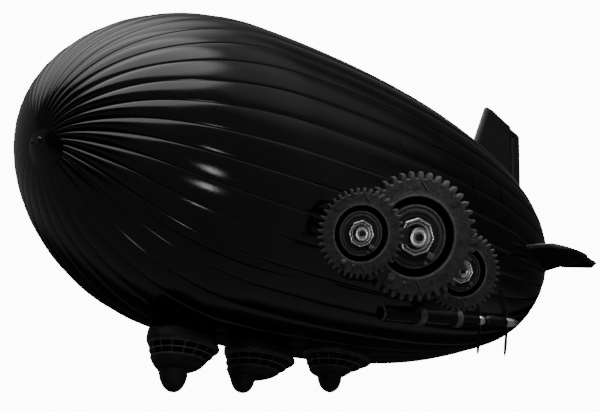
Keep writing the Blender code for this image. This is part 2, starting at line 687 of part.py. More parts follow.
def gear_train(side, sign, cutter):
    base = gear_frame(sign)
    flip = sign

    def at(place, z=0.0):
        aft, up = WHEELS[place][0] * flip, WHEELS[place][1]
        return base @ Matrix.Translation((aft, up, z))

    # Wheels and nuts
    for place, (_, _, middle, thick, tip, axle) in WHEELS.items():
        gear(f"{side}_{place}_gear", tip, thick, axle, at(place, middle))
        _, disc, front = wheel_faces(place)
        top = {"main": ARM_BACK - SEAT, "front": front - 0.02, "rear": front - 0.02}[place]
        ring_nut(f"{side}_{place}_nut", NUT_SHARE * tip, axle + SEAT, disc + SIDE_PLAY, top, at(place))

    # Mount: two posts on the hull with their axles and a web between them
    back = {place: wheel_faces(place)[0] for place in WHEELS}
    front = {place: wheel_faces(place)[2] for place in WHEELS}
    mount = rod(f"{side}_gear_mount", POST_RADII["main"], (0, 0, POST_ROOT), (0, 0, back["main"] - SIDE_PLAY),
                at("main"), "pod_grey", 28)
    pieces = [
        rod(f"{side}_rear_post", POST_RADII["rear"], (0, 0, POST_ROOT), (0, 0, back["rear"] - SIDE_PLAY),
            at("rear"), "pod_grey", 24),
        rod(f"{side}_main_axle", WHEELS["main"][5], (0, 0, back["main"] - 0.2), (0, 0, ARM_FRONT + 0.10),
            at("main"), "pod_grey", 16),
        rod(f"{side}_rear_axle", WHEELS["rear"][5], (0, 0, back["rear"] - 0.2), (0, 0, front["rear"] + 0.005),
            at("rear"), "pod_grey", 16),
    ]
    aft, up = WHEELS["rear"][0] * flip, WHEELS["rear"][1]
    span = math.hypot(aft, up)
    turn = base @ Matrix.Rotation(math.atan2(up, aft), 4, "Z")
    web_top = back["rear"] - 0.30
    pieces.append(block(f"{side}_mount_web", (0.1, -WEB_HALF, WEB_ROOT), (span - 0.1, WEB_HALF, web_top),
                        turn, "pod_grey"))
    for piece in pieces:
        as_cutter(piece)
        boolean(mount, piece, "UNION")
    boolean(mount, cutter, "DIFFERENCE")

    # Arm: boss on the main axle, boss under the front wheel, and that wheel's axle
    aft, up = WHEELS["front"][0] * flip, WHEELS["front"][1]
    span = math.hypot(aft, up)
    turn = base @ Matrix.Rotation(math.atan2(up, aft), 4, "Z")
    arm = block(f"{side}_gear_arm", (0.0, -ARM_HALF, ARM_BACK), (span, ARM_HALF, ARM_FRONT), turn, "pod_grey")
    boss = rod(f"{side}_arm_boss", ARM_BOSSES[0], (0, 0, ARM_BACK), (0, 0, ARM_FRONT + 0.10), at("main"),
               "pod_grey", 24)
    far_boss = rod(f"{side}_arm_far_boss", ARM_BOSSES[1], (0, 0, ARM_BACK), (0, 0, back["front"] - SIDE_PLAY),
                   at("front"), "pod_grey", 24)
    axle = rod(f"{side}_front_axle", WHEELS["front"][5], (0, 0, ARM_BACK), (0, 0, front["front"] + 0.06),
               at("front"), "pod_grey", 16)
    hole = rod(f"{side}_arm_hole", WHEELS["main"][5] + SEAT, (0, 0, ARM_BACK - 0.1), (0, 0, ARM_FRONT + 0.2),
               at("main"), "pod_grey", 16)
    for piece, operation in ((boss, "UNION"), (far_boss, "UNION"), (axle, "UNION"), (hole, "DIFFERENCE")):
        as_cutter(piece)
        boolean(arm, piece, operation)


# Engine pods

def turned(name, profile, frame, finish, sides=16):
    """Solid turned from a chain of (distance along Z, radius), with flat ends."""
    verts = []
    for z, radius in profile:
        verts += [(radius * math.cos(2 * math.pi * k / sides), radius * math.sin(2 * math.pi * k / sides), z)
                  for k in range(sides)]
    rows = len(profile)
    faces = strips(0, rows, sides)
    faces += [tuple(range(sides)), tuple((rows - 1) * sides + k for k in range(sides))]
    return add_mesh(name, verts, faces, finish, frame, sharp=25.0)


def propeller(name, frame, spinner, angle):
    """Two twisted blades on a bored hub; the frame's Z is the shaft, the origin is the hub."""
    hub = turned(name, ((-0.15, 0.26), (0.15, 0.26)) + spinner, frame, "bright_steel")
    for number, start in enumerate((angle, angle + 180.0)):
        verts = []
        for reach, chord, thick, pitch in BLADE_SECTIONS:
            c, s = math.cos(math.radians(pitch)), math.sin(math.radians(pitch))
            for across, out in ((-1, 0), (0, 1), (1, 0), (0, -1)):
                u, v = across * chord, out * thick
                verts.append((reach, u * c - v * s, u * s + v * c - BLADE_CONE * reach))
        faces = strips(0, len(BLADE_SECTIONS), 4)
        faces += [(0, 1, 2, 3), tuple(4 * (len(BLADE_SECTIONS) - 1) + k for k in range(4))]
        blade = add_mesh(f"{name}_blade_{number}", verts, faces, "pod_grey",
                         frame @ Matrix.Rotation(math.radians(start), 4, "Z"))
        as_cutter(blade)
        boolean(hub, blade, "UNION")
    return hub


def engine_group(side, sign, cutter):
    start = Vector((POD_START[0], sign * POD_START[1], POD_START[2]))
    along = Vector((POD_DIRECTION[0], sign * POD_DIRECTION[1], POD_DIRECTION[2])).normalized()
    up = Vector((0.0, 0.0, 1.0))
    up = (up - along * up.dot(along)).normalized()
    frame = Matrix((up, along.cross(up), along)).transposed().to_4x4()
    frame.translation = start
    turn = side_turn(sign)
    frame = turn @ frame

    front = turned(f"{side}_front_pod", FRONT_POD, frame, "pod_grey", 20)
    spindle = rod(f"{side}_spindle", SPINDLE, (0, 0, 6.2), (0, 0, REAR_PROP_AT + 0.10), frame, "pod_grey")
    as_cutter(spindle)
    boolean(front, spindle, "UNION")
    rear = turned(f"{side}_rear_pod", REAR_POD, frame, "pod_grey", 20)
    passage = rod(f"{side}_rear_pod_bore", SPINDLE + SEAT, (0, 0, 6.9), (0, 0, 8.6), frame, "pod_grey")
    as_cutter(passage)
    boolean(rear, passage, "DIFFERENCE")

    # Propellers turn on the spindle
    fits = ((f"{side}_front_propeller", FRONT_PROP_AT, ((0.20, 0.20),), 0.30),
            (f"{side}_rear_propeller", REAR_PROP_AT, ((0.35, 0.24), (0.60, 0.17), (0.85, 0.07)), 0.115))
    for name, at, spinner, reach in fits:
        place = frame @ Matrix.Translation((0.0, 0.0, at))
        screw = propeller(name, place, spinner, PARKED[side])
        bore = rod(name + "_bore", bore_radius(SPINDLE), (0, 0, -0.3), (0, 0, reach), place, "pod_grey",
                   phase=0.5)
        as_cutter(bore)
        boolean(screw, bore, "DIFFERENCE")

    # Wing: slab from inside the hull to the pod's flank
    axis_radius = math.hypot(start.y, start.z)
    inward = Vector((0.0, -start.y, -start.z)) / axis_radius
    normal = along.cross(inward).normalized()
    corners = ((WING_FROM, 0.0), (WING_TO, 0.0), (WING_TO + WING_FLARE, WING_REACH),
               (WING_FROM - WING_FLARE, WING_REACH))
    verts = []
    for lift in (-0.5, 0.5):
        for distance, depth in corners:
            verts.append(start + along * distance + inward * depth + normal * (lift * WING_THICK))
    faces = [(0, 1, 2, 3), (4, 5, 6, 7), (0, 1, 5, 4), (1, 2, 6, 5), (2, 3, 7, 6), (3, 0, 4, 7)]
    wing = add_mesh(f"{side}_engine_wing", verts, faces, "pod_grey", turn)
    boolean(wing, cutter, "DIFFERENCE")
    grown = tuple((distance, radius + SEAT) for distance, radius in FRONT_POD)
    pod_cutter = as_cutter(turned(f"{side}_pod_cutter", grown, frame, "pod_grey", 20))
    boolean(wing, pod_cutter, "DIFFERENCE")


def main():
    clear_scene()
    envelope()
    cutter = hull_cutter()
    caps(cutter)
    gondolas(cutter)
    tail_surfaces(cutter)
    for side, sign in (("port", 1.0), ("starboard", -1.0)):
        gear_train(side, sign, cutter)
        engine_group(side, sign, cutter)


main()
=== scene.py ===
# %% [markdown]
# # A ribbed airship, dressed with surfaces worked out in numpy
#
# The solids of this airship are already there: hull, gondolas, fins, wheels and engines.
# Here each one that shows gets a finer skin and a finish. Almost every shape is a surface that
# two parameters sweep out, so numpy works out all of its points at once. Lengths are in metres,
# X points to the nose, Y to port and Z up.

# %% Load the frame
import json
import math

import bpy
import numpy as np
from mathutils import Matrix, Vector


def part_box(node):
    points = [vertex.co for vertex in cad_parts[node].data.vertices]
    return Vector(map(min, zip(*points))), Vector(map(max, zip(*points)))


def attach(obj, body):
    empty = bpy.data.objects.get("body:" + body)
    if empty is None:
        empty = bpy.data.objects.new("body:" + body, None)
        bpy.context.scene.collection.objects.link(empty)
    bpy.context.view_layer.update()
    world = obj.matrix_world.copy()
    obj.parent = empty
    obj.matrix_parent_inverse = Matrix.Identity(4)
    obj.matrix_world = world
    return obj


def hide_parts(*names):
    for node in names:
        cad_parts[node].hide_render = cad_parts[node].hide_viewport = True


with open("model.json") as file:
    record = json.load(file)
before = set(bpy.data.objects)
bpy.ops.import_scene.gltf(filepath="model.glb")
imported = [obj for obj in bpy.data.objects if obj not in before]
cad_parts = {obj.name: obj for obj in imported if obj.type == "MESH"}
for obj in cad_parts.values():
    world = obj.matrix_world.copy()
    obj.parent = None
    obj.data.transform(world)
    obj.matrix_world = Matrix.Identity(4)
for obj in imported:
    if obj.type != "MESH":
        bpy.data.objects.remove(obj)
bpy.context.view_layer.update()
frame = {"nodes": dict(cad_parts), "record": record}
nodes = frame["nodes"]
print("nodes in the frame:", len(nodes))

# %% [markdown]
# ## Where the viewer stands
#
# The airship is seen from below and ahead, from far away through a long lens, so that it keeps
# nearly parallel edges. The floor is level with the camera, and the airship hangs above it. A
# camera could be moved by hand until the view fits. Here its right, up and back directions are
# written down as the columns of a matrix, so that the view can be read and changed in numbers.

# %% Camera
IMAGE_WIDTH = 600
FOCAL_PIXELS = 3400.0
SENSOR = 36.0
AIM = Vector((-1.0, 0.0, 0.0))
DISTANCE, SIDESTEP, LIFT = 180.0, 0.288, -0.036
camera_right = Vector((-0.7143, 0.6998, 0.0)).normalized()
camera_back = Vector((0.6626, 0.6764, -0.3218)).normalized()
camera_up = camera_back.cross(camera_right).normalized()
camera_right = camera_up.cross(camera_back)
camera_place = AIM + DISTANCE * camera_back + SIDESTEP * camera_right + LIFT * camera_up

camera_data = bpy.data.cameras.new("camera")
camera_data.sensor_width = SENSOR
camera_data.lens = FOCAL_PIXELS * SENSOR / IMAGE_WIDTH
camera_data.clip_end = 2000.0
camera = bpy.data.objects.new("camera", camera_data)
camera.matrix_world = Matrix((camera_right, camera_up, camera_back)).transposed().to_4x4()
camera.matrix_world.translation = camera_place
bpy.context.scene.collection.objects.link(camera)
bpy.context.scene.camera = camera
print("camera at", tuple(round(c, 2) for c in camera_place))

# %% [markdown]
# ## From arrays to a mesh
#
# A surface is a grid of points with rows and columns. Its faces join each point to its
# neighbours. A loop could list them one by one, but index arithmetic on whole arrays is shorter
# and much faster.

# %% Faces of a grid
def grid_faces(rows, columns):
    """Quads between neighbouring rows; the last column joins the first."""
    row, column = np.meshgrid(np.arange(rows - 1), np.arange(columns), indexing="ij")
    here = row * columns + column
    beside = row * columns + (column + 1) % columns
    return np.stack([here, beside, beside + columns, here + columns], axis=-1).reshape(-1, 4)


def fan_faces(ring, centre):
    """Triangles from a ring of point numbers to one point in its middle."""
    ring = np.asarray(ring)
    return np.stack([ring, np.roll(ring, -1), np.full_like(ring, centre)], axis=-1)


print("faces of a grid of 3 by 4 points:", len(grid_faces(3, 4)))

# %% [markdown]
# Blender shades a face by the side it turns outwards, so a closed piece must not be inside out.
# The signed volume of its faces tells: if it is negative, every face is turned round. Each piece
# also needs a body that carries it when a joint moves, and the name of its finish.

# %% Pieces
def signed_volume(points, faces):
    """Sum of the tetrahedra from the origin to each triangle: a . (b x c) / 6."""
    a, b, c = points[faces[:, 0]], points[faces[:, 1]], points[faces[:, 2]]
    total = np.einsum("ij,ij->i", a, np.cross(b, c)).sum()
    if faces.shape[1] == 4:
        d = points[faces[:, 3]]
        total += np.einsum("ij,ij->i", a, np.cross(c, d)).sum()
    return total / 6.0


def add_piece(name, points, quads, triangles, body, material, layers=None, uv=None, smooth=40.0):
    """Put arrays into a mesh object, turn it outwards, and tie it to a body and a finish."""
    points = np.asarray(points, float)
    centred = points - points.mean(axis=0)
    triangles = np.asarray(triangles, int).reshape(-1, 3)
    quads = np.asarray(quads, int).reshape(-1, 4)
    volume = signed_volume(centred, quads) if len(quads) else 0.0
    volume += signed_volume(centred, triangles) if len(triangles) else 0.0
    if volume < 0.0:
        quads, triangles = quads[:, ::-1], triangles[:, ::-1]
    mesh = bpy.data.meshes.new(name)
    mesh.from_pydata(points.tolist(), [], quads.tolist() + triangles.tolist())
    for layer, values in (layers or {}).items():
        store = mesh.attributes.new(layer, "FLOAT", "POINT")
        store.data.foreach_set("value", np.asarray(values, np.float32).ravel())
    if uv is not None:
        corners = np.empty(len(mesh.loops), int)
        mesh.loops.foreach_get("vertex_index", corners)
        mesh.uv_layers.new(name="surface").data.foreach_set("uv", np.asarray(uv)[corners].ravel())
    mesh.shade_smooth()
    mesh.set_sharp_from_angle(angle=math.radians(smooth))
    mesh.materials.append(material)
    piece = bpy.data.objects.new(name, mesh)
    bpy.context.scene.collection.objects.link(piece)
    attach(piece, body)
    return piece


def ring_solid(points, layers=None):
    """Close a grid of rings at both ends: returns points, quads, triangles and longer layers."""
    rows, columns = points.shape[:2]
    flat = points.reshape(-1, 3)
    ends = np.stack([points[0].mean(axis=0), points[-1].mean(axis=0)])
    first, last = np.arange(columns), np.arange(columns) + (rows - 1) * columns
    triangles = np.concatenate([fan_faces(first, rows * columns)[:, ::-1],
                                fan_faces(last, rows * columns + 1)])
    grown = {key: np.concatenate([np.broadcast_to(value, (rows, columns)).ravel(),
                                  [value[0, 0], value[-1, 0]]])
             for key, value in (layers or {}).items()}
    return np.concatenate([flat, ends]), grid_faces(rows, columns), triangles, grown


def closed_loop(points, layers):
    """A grid whose last ring joins its first, as on a wheel with a bore."""
    rows, columns = points.shape[:2]
    first, last = np.arange(columns), np.arange(columns) + (rows - 1) * columns
    join = np.stack([last, np.roll(last, -1), np.roll(first, -1), first], axis=-1)
    quads = np.concatenate([grid_faces(rows, columns), join])
    grown = {key: np.broadcast_to(value, (rows, columns)).ravel() for key, value in layers.items()}
    return points.reshape(-1, 3), quads, grown


def add_solid(name, points, body, material, layers=None, smooth=40.0):
    """A grid of rings as a closed piece."""
    solid, quads, triangles, grown = ring_solid(points, layers)
    return add_piece(name, solid, quads, triangles, body, material, grown, smooth=smooth)


def add_loop(name, points, body, material, layers=None, smooth=40.0):
    """A grid of rings whose ends meet, as a closed piece."""
    flat, quads, grown = closed_loop(points, layers or {})
    return add_piece(name, flat, quads, [], body, material, grown, smooth=smooth)


print("helpers for closed pieces: rings with ends, and rings that meet")

# %% [markdown]
# Profiles are drawn with few knots and read off between them with a smooth curve: between two
# knots runs a cubic whose slope at each knot follows the knot's neighbours. A curve object would
# do too, but the array can be turned into any surface afterwards.

# %% Smooth curves through knots
def smooth_curve(knots, count):
    """A cubic between each two knots, with slopes from their neighbours, read at even distances."""
    knots = np.asarray(knots, float)
    gaps = np.linalg.norm(np.diff(knots[:, :2], axis=0), axis=1)
    place = np.concatenate([[0.0], np.cumsum(gaps)])
    slope = np.gradient(knots, place, axis=0)
    at = np.linspace(0.0, place[-1], count)
    k = np.clip(np.searchsorted(place, at, side="right") - 1, 0, len(knots) - 2)
    gap = (place[k + 1] - place[k])[:, None]
    t = ((at - place[k])[:, None]) / gap
    return ((2 * t ** 3 - 3 * t ** 2 + 1) * knots[k] + (t ** 3 - 2 * t ** 2 + t) * gap * slope[k]
            + (3 * t ** 2 - 2 * t ** 3) * knots[k + 1] + (t ** 3 - t ** 2) * gap * slope[k + 1])


print("halfway up a smooth step:", smooth_curve(((0.0, 0.0), (1.0, 1.0)), 3)[1].tolist())

# %% [markdown]
# Three shapes come back all the time: something turned on a lathe, a block with soft edges, and
# either of them moved to its place. Moving the points themselves keeps each object at the origin,
# where the solids are too.

# %% Basic shapes
def placed(points, matrix):
    """Move an array of points by a 4x4 matrix."""
    m = np.array(matrix)
    return points @ m[:3, :3].T + m[:3, 3]


def lathe(profile, sides=48):
    """Surface of revolution about Z: profile rows are (radius, height)."""
    profile = np.asarray(profile, float)
    turn = np.linspace(0.0, 2.0 * np.pi, sides, endpoint=False)
    radius, height = profile[:, :1], profile[:, 1:2]
    return np.stack([radius * np.cos(turn), radius * np.sin(turn), height + 0.0 * turn], axis=-1)


def superblock(size, power=6.0, rows=12, sides=24):
    """Rounded block: an ellipsoid whose cross-sections are superellipses of the given power."""
    up = np.linspace(-np.pi / 2, np.pi / 2, rows)[:, None]
    turn = np.linspace(0.0, 2.0 * np.pi, sides, endpoint=False)[None, :]

    def soft(value):
        """Sign of the value times its size to the power 2 / power."""
        return np.sign(value) * np.abs(value) ** (2.0 / power)

    shape = [soft(np.cos(up)) * soft(np.cos(turn)), soft(np.cos(up)) * soft(np.sin(turn)),
             soft(np.sin(up)) + 0.0 * turn]
    return np.stack(shape, axis=-1) * np.asarray(size, float) / 2.0


test_points, test_walls, test_ends, _ = ring_solid(lathe(((1.0, 0.0), (1.0, 2.0))))
test_volume = signed_volume(test_points, test_walls) + signed_volume(test_points, test_ends)
print("a lathed cylinder should hold nearly 2 pi:", round(test_volume, 2))

# %% [markdown]
# ## Finishes
#
# Everything here is nearly black, so what tells the pieces apart is how rough they are and how
# their colour is broken up. Four effects do that: the mottle of a casting, wear on edges, a film
# of dust, and the grain of coated cloth. Each is a node group, built once and then used by every
# material with its own values. Copying the nodes into each material would do the same, but then
# a change would have to be made many times.

# %% Helpers for shader nodes
def new_group(name, inputs, outputs):
    """A shader node group with float or vector inputs (name, kind, default) and named outputs."""
    group = bpy.data.node_groups.new(name, "ShaderNodeTree")
    for label, kind, default in inputs:
        socket = group.interface.new_socket(name=label, in_out="INPUT", socket_type="NodeSocket" + kind)
        if default is not None:
            socket.default_value = default
    for label, kind in outputs:
        group.interface.new_socket(name=label, in_out="OUTPUT", socket_type="NodeSocket" + kind)
    return group, group.nodes.new("NodeGroupInput"), group.nodes.new("NodeGroupOutput")


def add_node(tree, kind, links=None, **settings):
    """Add a node; links maps an input's name or number to an output socket or a value."""
    made = tree.nodes.new(kind)
    for key, value in settings.items():
        setattr(made, key, value)
    for key, value in (links or {}).items():
        if isinstance(value, bpy.types.NodeSocket):
            tree.links.new(value, made.inputs[key])
        else:
            made.inputs[key].default_value = value
    return made


print("helpers for shader nodes: new_group and add_node")

# %% [markdown]
# An old casting is speckled, and its edges are rubbed bright. A photographed texture could show
# both. Noise was chosen instead, because it needs no picture and never repeats.

# %% Mottle and wear
def casting_mottle():
    """Speckled skin of an old casting: two noises, coarse blotches times fine flecks."""
    group, start, end = new_group(
        "casting_mottle", [("Vector", "Vector", None), ("Scale", "Float", 6.0), ("Contrast", "Float", 1.0)],
        [("Fleck", "Float"), ("Height", "Float")])
    coarse = add_node(group, "ShaderNodeTexNoise", {"Vector": start.outputs[0], "Scale": start.outputs[1],
                                                    "Detail": 5.0, "Roughness": 0.65})
    finer = add_node(group, "ShaderNodeMath", {0: start.outputs[1], 1: 4.3}, operation="MULTIPLY")
    pits = add_node(group, "ShaderNodeTexVoronoi", {"Vector": start.outputs[0], "Scale": finer.outputs[0]})
    spread = add_node(group, "ShaderNodeMapRange", {"Value": coarse.outputs["Fac"], "From Min": 0.34,
                                                    "From Max": 0.66})
    both = add_node(group, "ShaderNodeMath", {0: spread.outputs[0], 1: pits.outputs["Distance"], 2: 0.12},
                    operation="MULTIPLY_ADD")
    strong = add_node(group, "ShaderNodeMath", {0: both.outputs[0], 1: start.outputs[2]},
                      operation="MULTIPLY")
    clean = add_node(group, "ShaderNodeClamp", {"Value": strong.outputs[0]})
    group.links.new(clean.outputs[0], end.inputs["Fleck"])
    group.links.new(coarse.outputs["Fac"], end.inputs["Height"])
    return group


def edge_wear():
    """Wear where a layer says so, broken up by noise so that it is never an even line."""
    group, start, end = new_group(
        "edge_wear", [("Vector", "Vector", None), ("Edge", "Float", 0.0), ("Scale", "Float", 8.0)],
        [("Mask", "Float")])
    noise = add_node(group, "ShaderNodeTexNoise", {"Vector": start.outputs[0], "Scale": start.outputs[2],
                                                   "Detail": 4.0})
    rough = add_node(group, "ShaderNodeMapRange", {"Value": noise.outputs["Fac"], "From Min": 0.35,
                                                   "From Max": 0.6, "To Min": 0.35, "To Max": 1.0})
    worn_and_highlight = add_node(group, "ShaderNodeMath", {0: start.outputs[1], 1: rough.outputs[0]},
                    operation="MULTIPLY")
    group.links.new(worn_and_highlight.outputs[0], end.inputs["Mask"])
    return group


GROUPS = {"mottle": casting_mottle(), "wear": edge_wear()}
print("shader groups:", ", ".join(GROUPS))

# %% [markdown]
# Dust settles in broad patches, and rain draws it out into runs along the hull. The cloth under
# it has a fine pebbled coat. Both are noises again, one of them stretched along the length.

# %% Dust and grain
def dust_film():
    """Thin dust and faint run marks: a broad noise and one stretched along the length."""
    group, start, end = new_group(
        "dust_film", [("Vector", "Vector", None), ("Scale", "Float", 0.4), ("Amount", "Float", 0.5)],
        [("Mask", "Float")])
    broad = add_node(group, "ShaderNodeTexNoise", {"Vector": start.outputs[0], "Scale": start.outputs[1],
                                                   "Detail": 6.0, "Roughness": 0.6})
    long = add_node(group, "ShaderNodeMapping", {"Vector": start.outputs[0], "Scale": (0.15, 2.4, 2.4)})
    runs = add_node(group, "ShaderNodeTexNoise", {"Vector": long.outputs[0], "Scale": start.outputs[1],
                                                  "Detail": 3.0})
    mixed = add_node(group, "ShaderNodeMath", {0: broad.outputs["Fac"], 1: runs.outputs["Fac"]},
                     operation="MULTIPLY")
    shown = add_node(group, "ShaderNodeMapRange", {"Value": mixed.outputs[0], "From Min": 0.16,
                                                   "From Max": 0.42, "To Max": start.outputs[2]})
    group.links.new(shown.outputs[0], end.inputs["Mask"])
    return group


def cloth_grain():
    """Fine pebbled coat of an envelope's fabric, as a height for a Bump node."""
    group, start, end = new_group(
        "cloth_grain", [("Vector", "Vector", None), ("Scale", "Float", 30.0)], [("Height", "Float")])
    grain = add_node(group, "ShaderNodeTexNoise", {"Vector": start.outputs[0], "Scale": start.outputs[1],
                                                   "Detail": 2.0, "Roughness": 0.5})
    group.links.new(grain.outputs["Fac"], end.inputs["Height"])
    return group


GROUPS.update({"dust": dust_film(), "grain": cloth_grain()})
print("shader groups:", ", ".join(GROUPS))

# %% [markdown]
# ## One recipe for painted, cast and coated surfaces
#
# A finish is a dark colour and a lighter one. Mottle and dust mix them, a layer of the mesh
# named edge brings in the worn colour, which on the fins is a painted highlight, and a second
# layer darkens hollows as painted shade. Roughness follows the same masks, so a worn edge is also
# a shinier one. Eleven materials could be built by hand, but they differ in their numbers only, so
# one function makes them all.

# %% Recipe for a finish
ROUGHNESS_SPREAD = 0.06        # mottle and dust change the roughness by this much either way
# painted shade: a hollow's colour is this share of the dark colour
PAINTED_SHADE_SHARE = 0.12             # colour in a hollow, as a share of the dark colour
RELIEF_STRENGTH = 0.6


def finish(name, dark, light, worn_and_highlight, rough, worn_rough, metallic=0.0, specular=0.5, mottle=6.0,
           contrast=1.0, dust=0.3, bump=0.02):
    """Principled material from two greys, a grey for worn places and painted highlights, and the shared
    groups.
    """
    made = bpy.data.materials.new(name)
    made.use_nodes = True
    tree = made.node_tree
    shader = tree.nodes["Principled BSDF"]
    shader.inputs["Metallic"].default_value = metallic
    shader.inputs["Specular IOR Level"].default_value = specular
    place = add_node(tree, "ShaderNodeTexCoord").outputs["Object"]
    cast = add_node(tree, "ShaderNodeGroup", node_tree=GROUPS["mottle"])
    cast.inputs["Scale"].default_value = mottle
    cast.inputs["Contrast"].default_value = contrast
    film = add_node(tree, "ShaderNodeGroup", node_tree=GROUPS["dust"])
    film.inputs["Amount"].default_value = dust
    edge = add_node(tree, "ShaderNodeAttribute", attribute_name="edge")
    # layer of painted shade, darkest in hollows, grooves and bores
    painted_shade = add_node(tree, "ShaderNodeAttribute", attribute_name="painted_shade")
    rub = add_node(tree, "ShaderNodeGroup", node_tree=GROUPS["wear"])
    for node in (cast, film, rub):
        tree.links.new(place, node.inputs["Vector"])
    tree.links.new(edge.outputs["Fac"], rub.inputs["Edge"])
    tone = add_node(tree, "ShaderNodeMath", {0: cast.outputs["Fleck"], 1: film.outputs["Mask"]},
                    operation="ADD")
    clean = add_node(tree, "ShaderNodeClamp", {"Value": tone.outputs[0]})

    def mix(share, first, second):
        """Blend two greys or colour sockets by a share between 0 and 1."""
        node = add_node(tree, "ShaderNodeMix", data_type="RGBA")
        tree.links.new(share, node.inputs["Factor"])
        for socket, value in ((node.inputs["A"], first), (node.inputs["B"], second)):
            if isinstance(value, bpy.types.NodeSocket):
                tree.links.new(value, socket)
            else:
                socket.default_value = (value, value, value, 1.0)
        return node.outputs["Result"]

    colour = mix(clean.outputs[0], dark, light)
    colour = mix(rub.outputs["Mask"], colour, worn_and_highlight)
    # painted shade: hollows turn darker
    colour = mix(painted_shade.outputs["Fac"], colour, PAINTED_SHADE_SHARE * dark)
    tree.links.new(colour, shader.inputs["Base Color"])
    spread = add_node(tree, "ShaderNodeMapRange", {"Value": clean.outputs[0],
                                                   "To Min": rough - ROUGHNESS_SPREAD,
                                                   "To Max": rough + ROUGHNESS_SPREAD})
    shine = add_node(tree, "ShaderNodeMix", {"Factor": rub.outputs["Mask"], "A": spread.outputs[0],
                                             "B": worn_rough})
    tree.links.new(shine.outputs["Result"], shader.inputs["Roughness"])
    relief = add_node(tree, "ShaderNodeBump", {"Height": cast.outputs["Height"],
                                               "Strength": RELIEF_STRENGTH, "Distance": bump})
    tree.links.new(relief.outputs["Normal"], shader.inputs["Normal"])
    return made


print("a finish mixes its colours by", ", ".join(["mottle", "dust", "edge", "painted_shade"]))

# %% [markdown]
# The table gives each finish its dark, light and worn grey, then its roughness and the roughness
# of its worn places. On the fins the worn grey is a painted highlight along the leading edge. Paint
# is satin, enamel and the caps are glossier, the castings are dull, and only the nuts and hubs are
# bare metal.

# %% Table of finishes
FINISHES = {
    "cap": finish("smooth_cap", 0.004, 0.007, 0.05, 0.18, 0.16, dust=0.2, bump=0.0),
    # the neck's near-black colour is painted shade under the hull
    "neck": finish("neck_painted_shade", 0.001, 0.002, 0.01, 0.75, 0.60, specular=0.1, dust=0.2, bump=0.004),
    "cabin": finish("cabin_paint", 0.010, 0.026, 0.10, 0.50, 0.35, specular=0.3, mottle=3.0, dust=0.5,
                    bump=0.01),
    "belly": finish("belly_paint", 0.009, 0.024, 0.08, 0.50, 0.40, specular=0.2, mottle=2.6, dust=0.5,
                    bump=0.012),
    # the fins' worn grey paints a highlight along their leading edges
    "fin": finish("fin_paint", 0.008, 0.014, 0.12, 0.34, 0.28, dust=0.3, bump=0.004),
    "pod": finish("pod_enamel", 0.003, 0.006, 0.20, 0.30, 0.25, specular=0.3, dust=0.3, bump=0.004),
    "cast": finish("worn_casting", 0.010, 0.064, 0.16, 0.62, 0.42, specular=0.3, mottle=3.2, contrast=1.5,
                   dust=0.2, bump=0.10),
    "steel": finish("bright_steel", 0.55, 0.70, 0.85, 0.30, 0.18, metallic=1.0, mottle=20.0, dust=0.1,
                    bump=0.002),
    "blade": finish("propeller_blade", 0.010, 0.020, 0.20, 0.40, 0.30, dust=0.2, bump=0.0),
    "bar": finish("glazing_bar", 0.050, 0.085, 0.20, 0.45, 0.30, dust=0.2, bump=0.0),
    # near black: the dots, and painted shade in the slits, the crease and the wheels' channels
    "slit": finish("black_mark_and_painted_shade", 0.001, 0.002, 0.002, 0.9, 0.9, specular=0.1, dust=0.0, bump=0.0),
}
print("finishes:", len(FINISHES))

# %% [markdown]
# The envelope's fabric is coated black and glossy, and a film of dust makes it lighter and duller
# in places. Each gore is joined to the next under a narrow tape. The tape could be a strip of its
# own, but it is thinner than a millimetre, so a UV map that counts gores across the hull paints
# it on instead.

# %% Envelope fabric
TAPE_FROM, TAPE_TO = 0.045, 0.070        # the tape covers this share of a gore, with a soft edge
CLOTH_DARK, CLOTH_LIGHT = (0.0030, 0.0030, 0.0032, 1.0), (0.0060, 0.0060, 0.0062, 1.0)
TAPE_COLOUR = (0.010, 0.010, 0.010, 1.0)


def envelope_fabric():
    """Coated black cloth: dust in two scales, fine grain, and taped seams from the UV map."""
    made = bpy.data.materials.new("envelope_fabric")
    made.use_nodes = True
    tree = made.node_tree
    shader = tree.nodes["Principled BSDF"]
    shader.inputs["Specular IOR Level"].default_value = 0.5
    coordinates = add_node(tree, "ShaderNodeTexCoord")
    place = coordinates.outputs["Object"]
    film = add_node(tree, "ShaderNodeGroup", node_tree=GROUPS["dust"])
    film.inputs["Scale"].default_value = 0.5
    film.inputs["Amount"].default_value = 1.0
    grain = add_node(tree, "ShaderNodeGroup", node_tree=GROUPS["grain"])
    grain.inputs["Scale"].default_value = 9.0
    for node in (film, grain):
        tree.links.new(place, node.inputs["Vector"])
    split = add_node(tree, "ShaderNodeSeparateXYZ", {0: coordinates.outputs["UV"]})
    share = add_node(tree, "ShaderNodeMath", {0: split.outputs["X"]}, operation="FRACT")
    tape = add_node(tree, "ShaderNodeMapRange", {"Value": share.outputs[0], "From Min": TAPE_FROM,
                                                 "From Max": TAPE_TO, "To Min": 1.0, "To Max": 0.0})
    colour = add_node(tree, "ShaderNodeMix", {"Factor": film.outputs["Mask"], "A": CLOTH_DARK,
                                              "B": CLOTH_LIGHT}, data_type="RGBA")
    taped = add_node(tree, "ShaderNodeMix", {"Factor": tape.outputs[0], "A": colour.outputs["Result"],
                                             "B": TAPE_COLOUR}, data_type="RGBA")
    tree.links.new(taped.outputs["Result"], shader.inputs["Base Color"])
    rough = add_node(tree, "ShaderNodeMapRange", {"Value": film.outputs["Mask"], "To Min": 0.12,
                                                  "To Max": 0.20})
    tree.links.new(rough.outputs[0], shader.inputs["Roughness"])
    relief = add_node(tree, "ShaderNodeBump", {"Height": grain.outputs["Height"], "Strength": 0.25,
                                               "Distance": 0.01})
    tree.links.new(relief.outputs["Normal"], shader.inputs["Normal"])
    return made


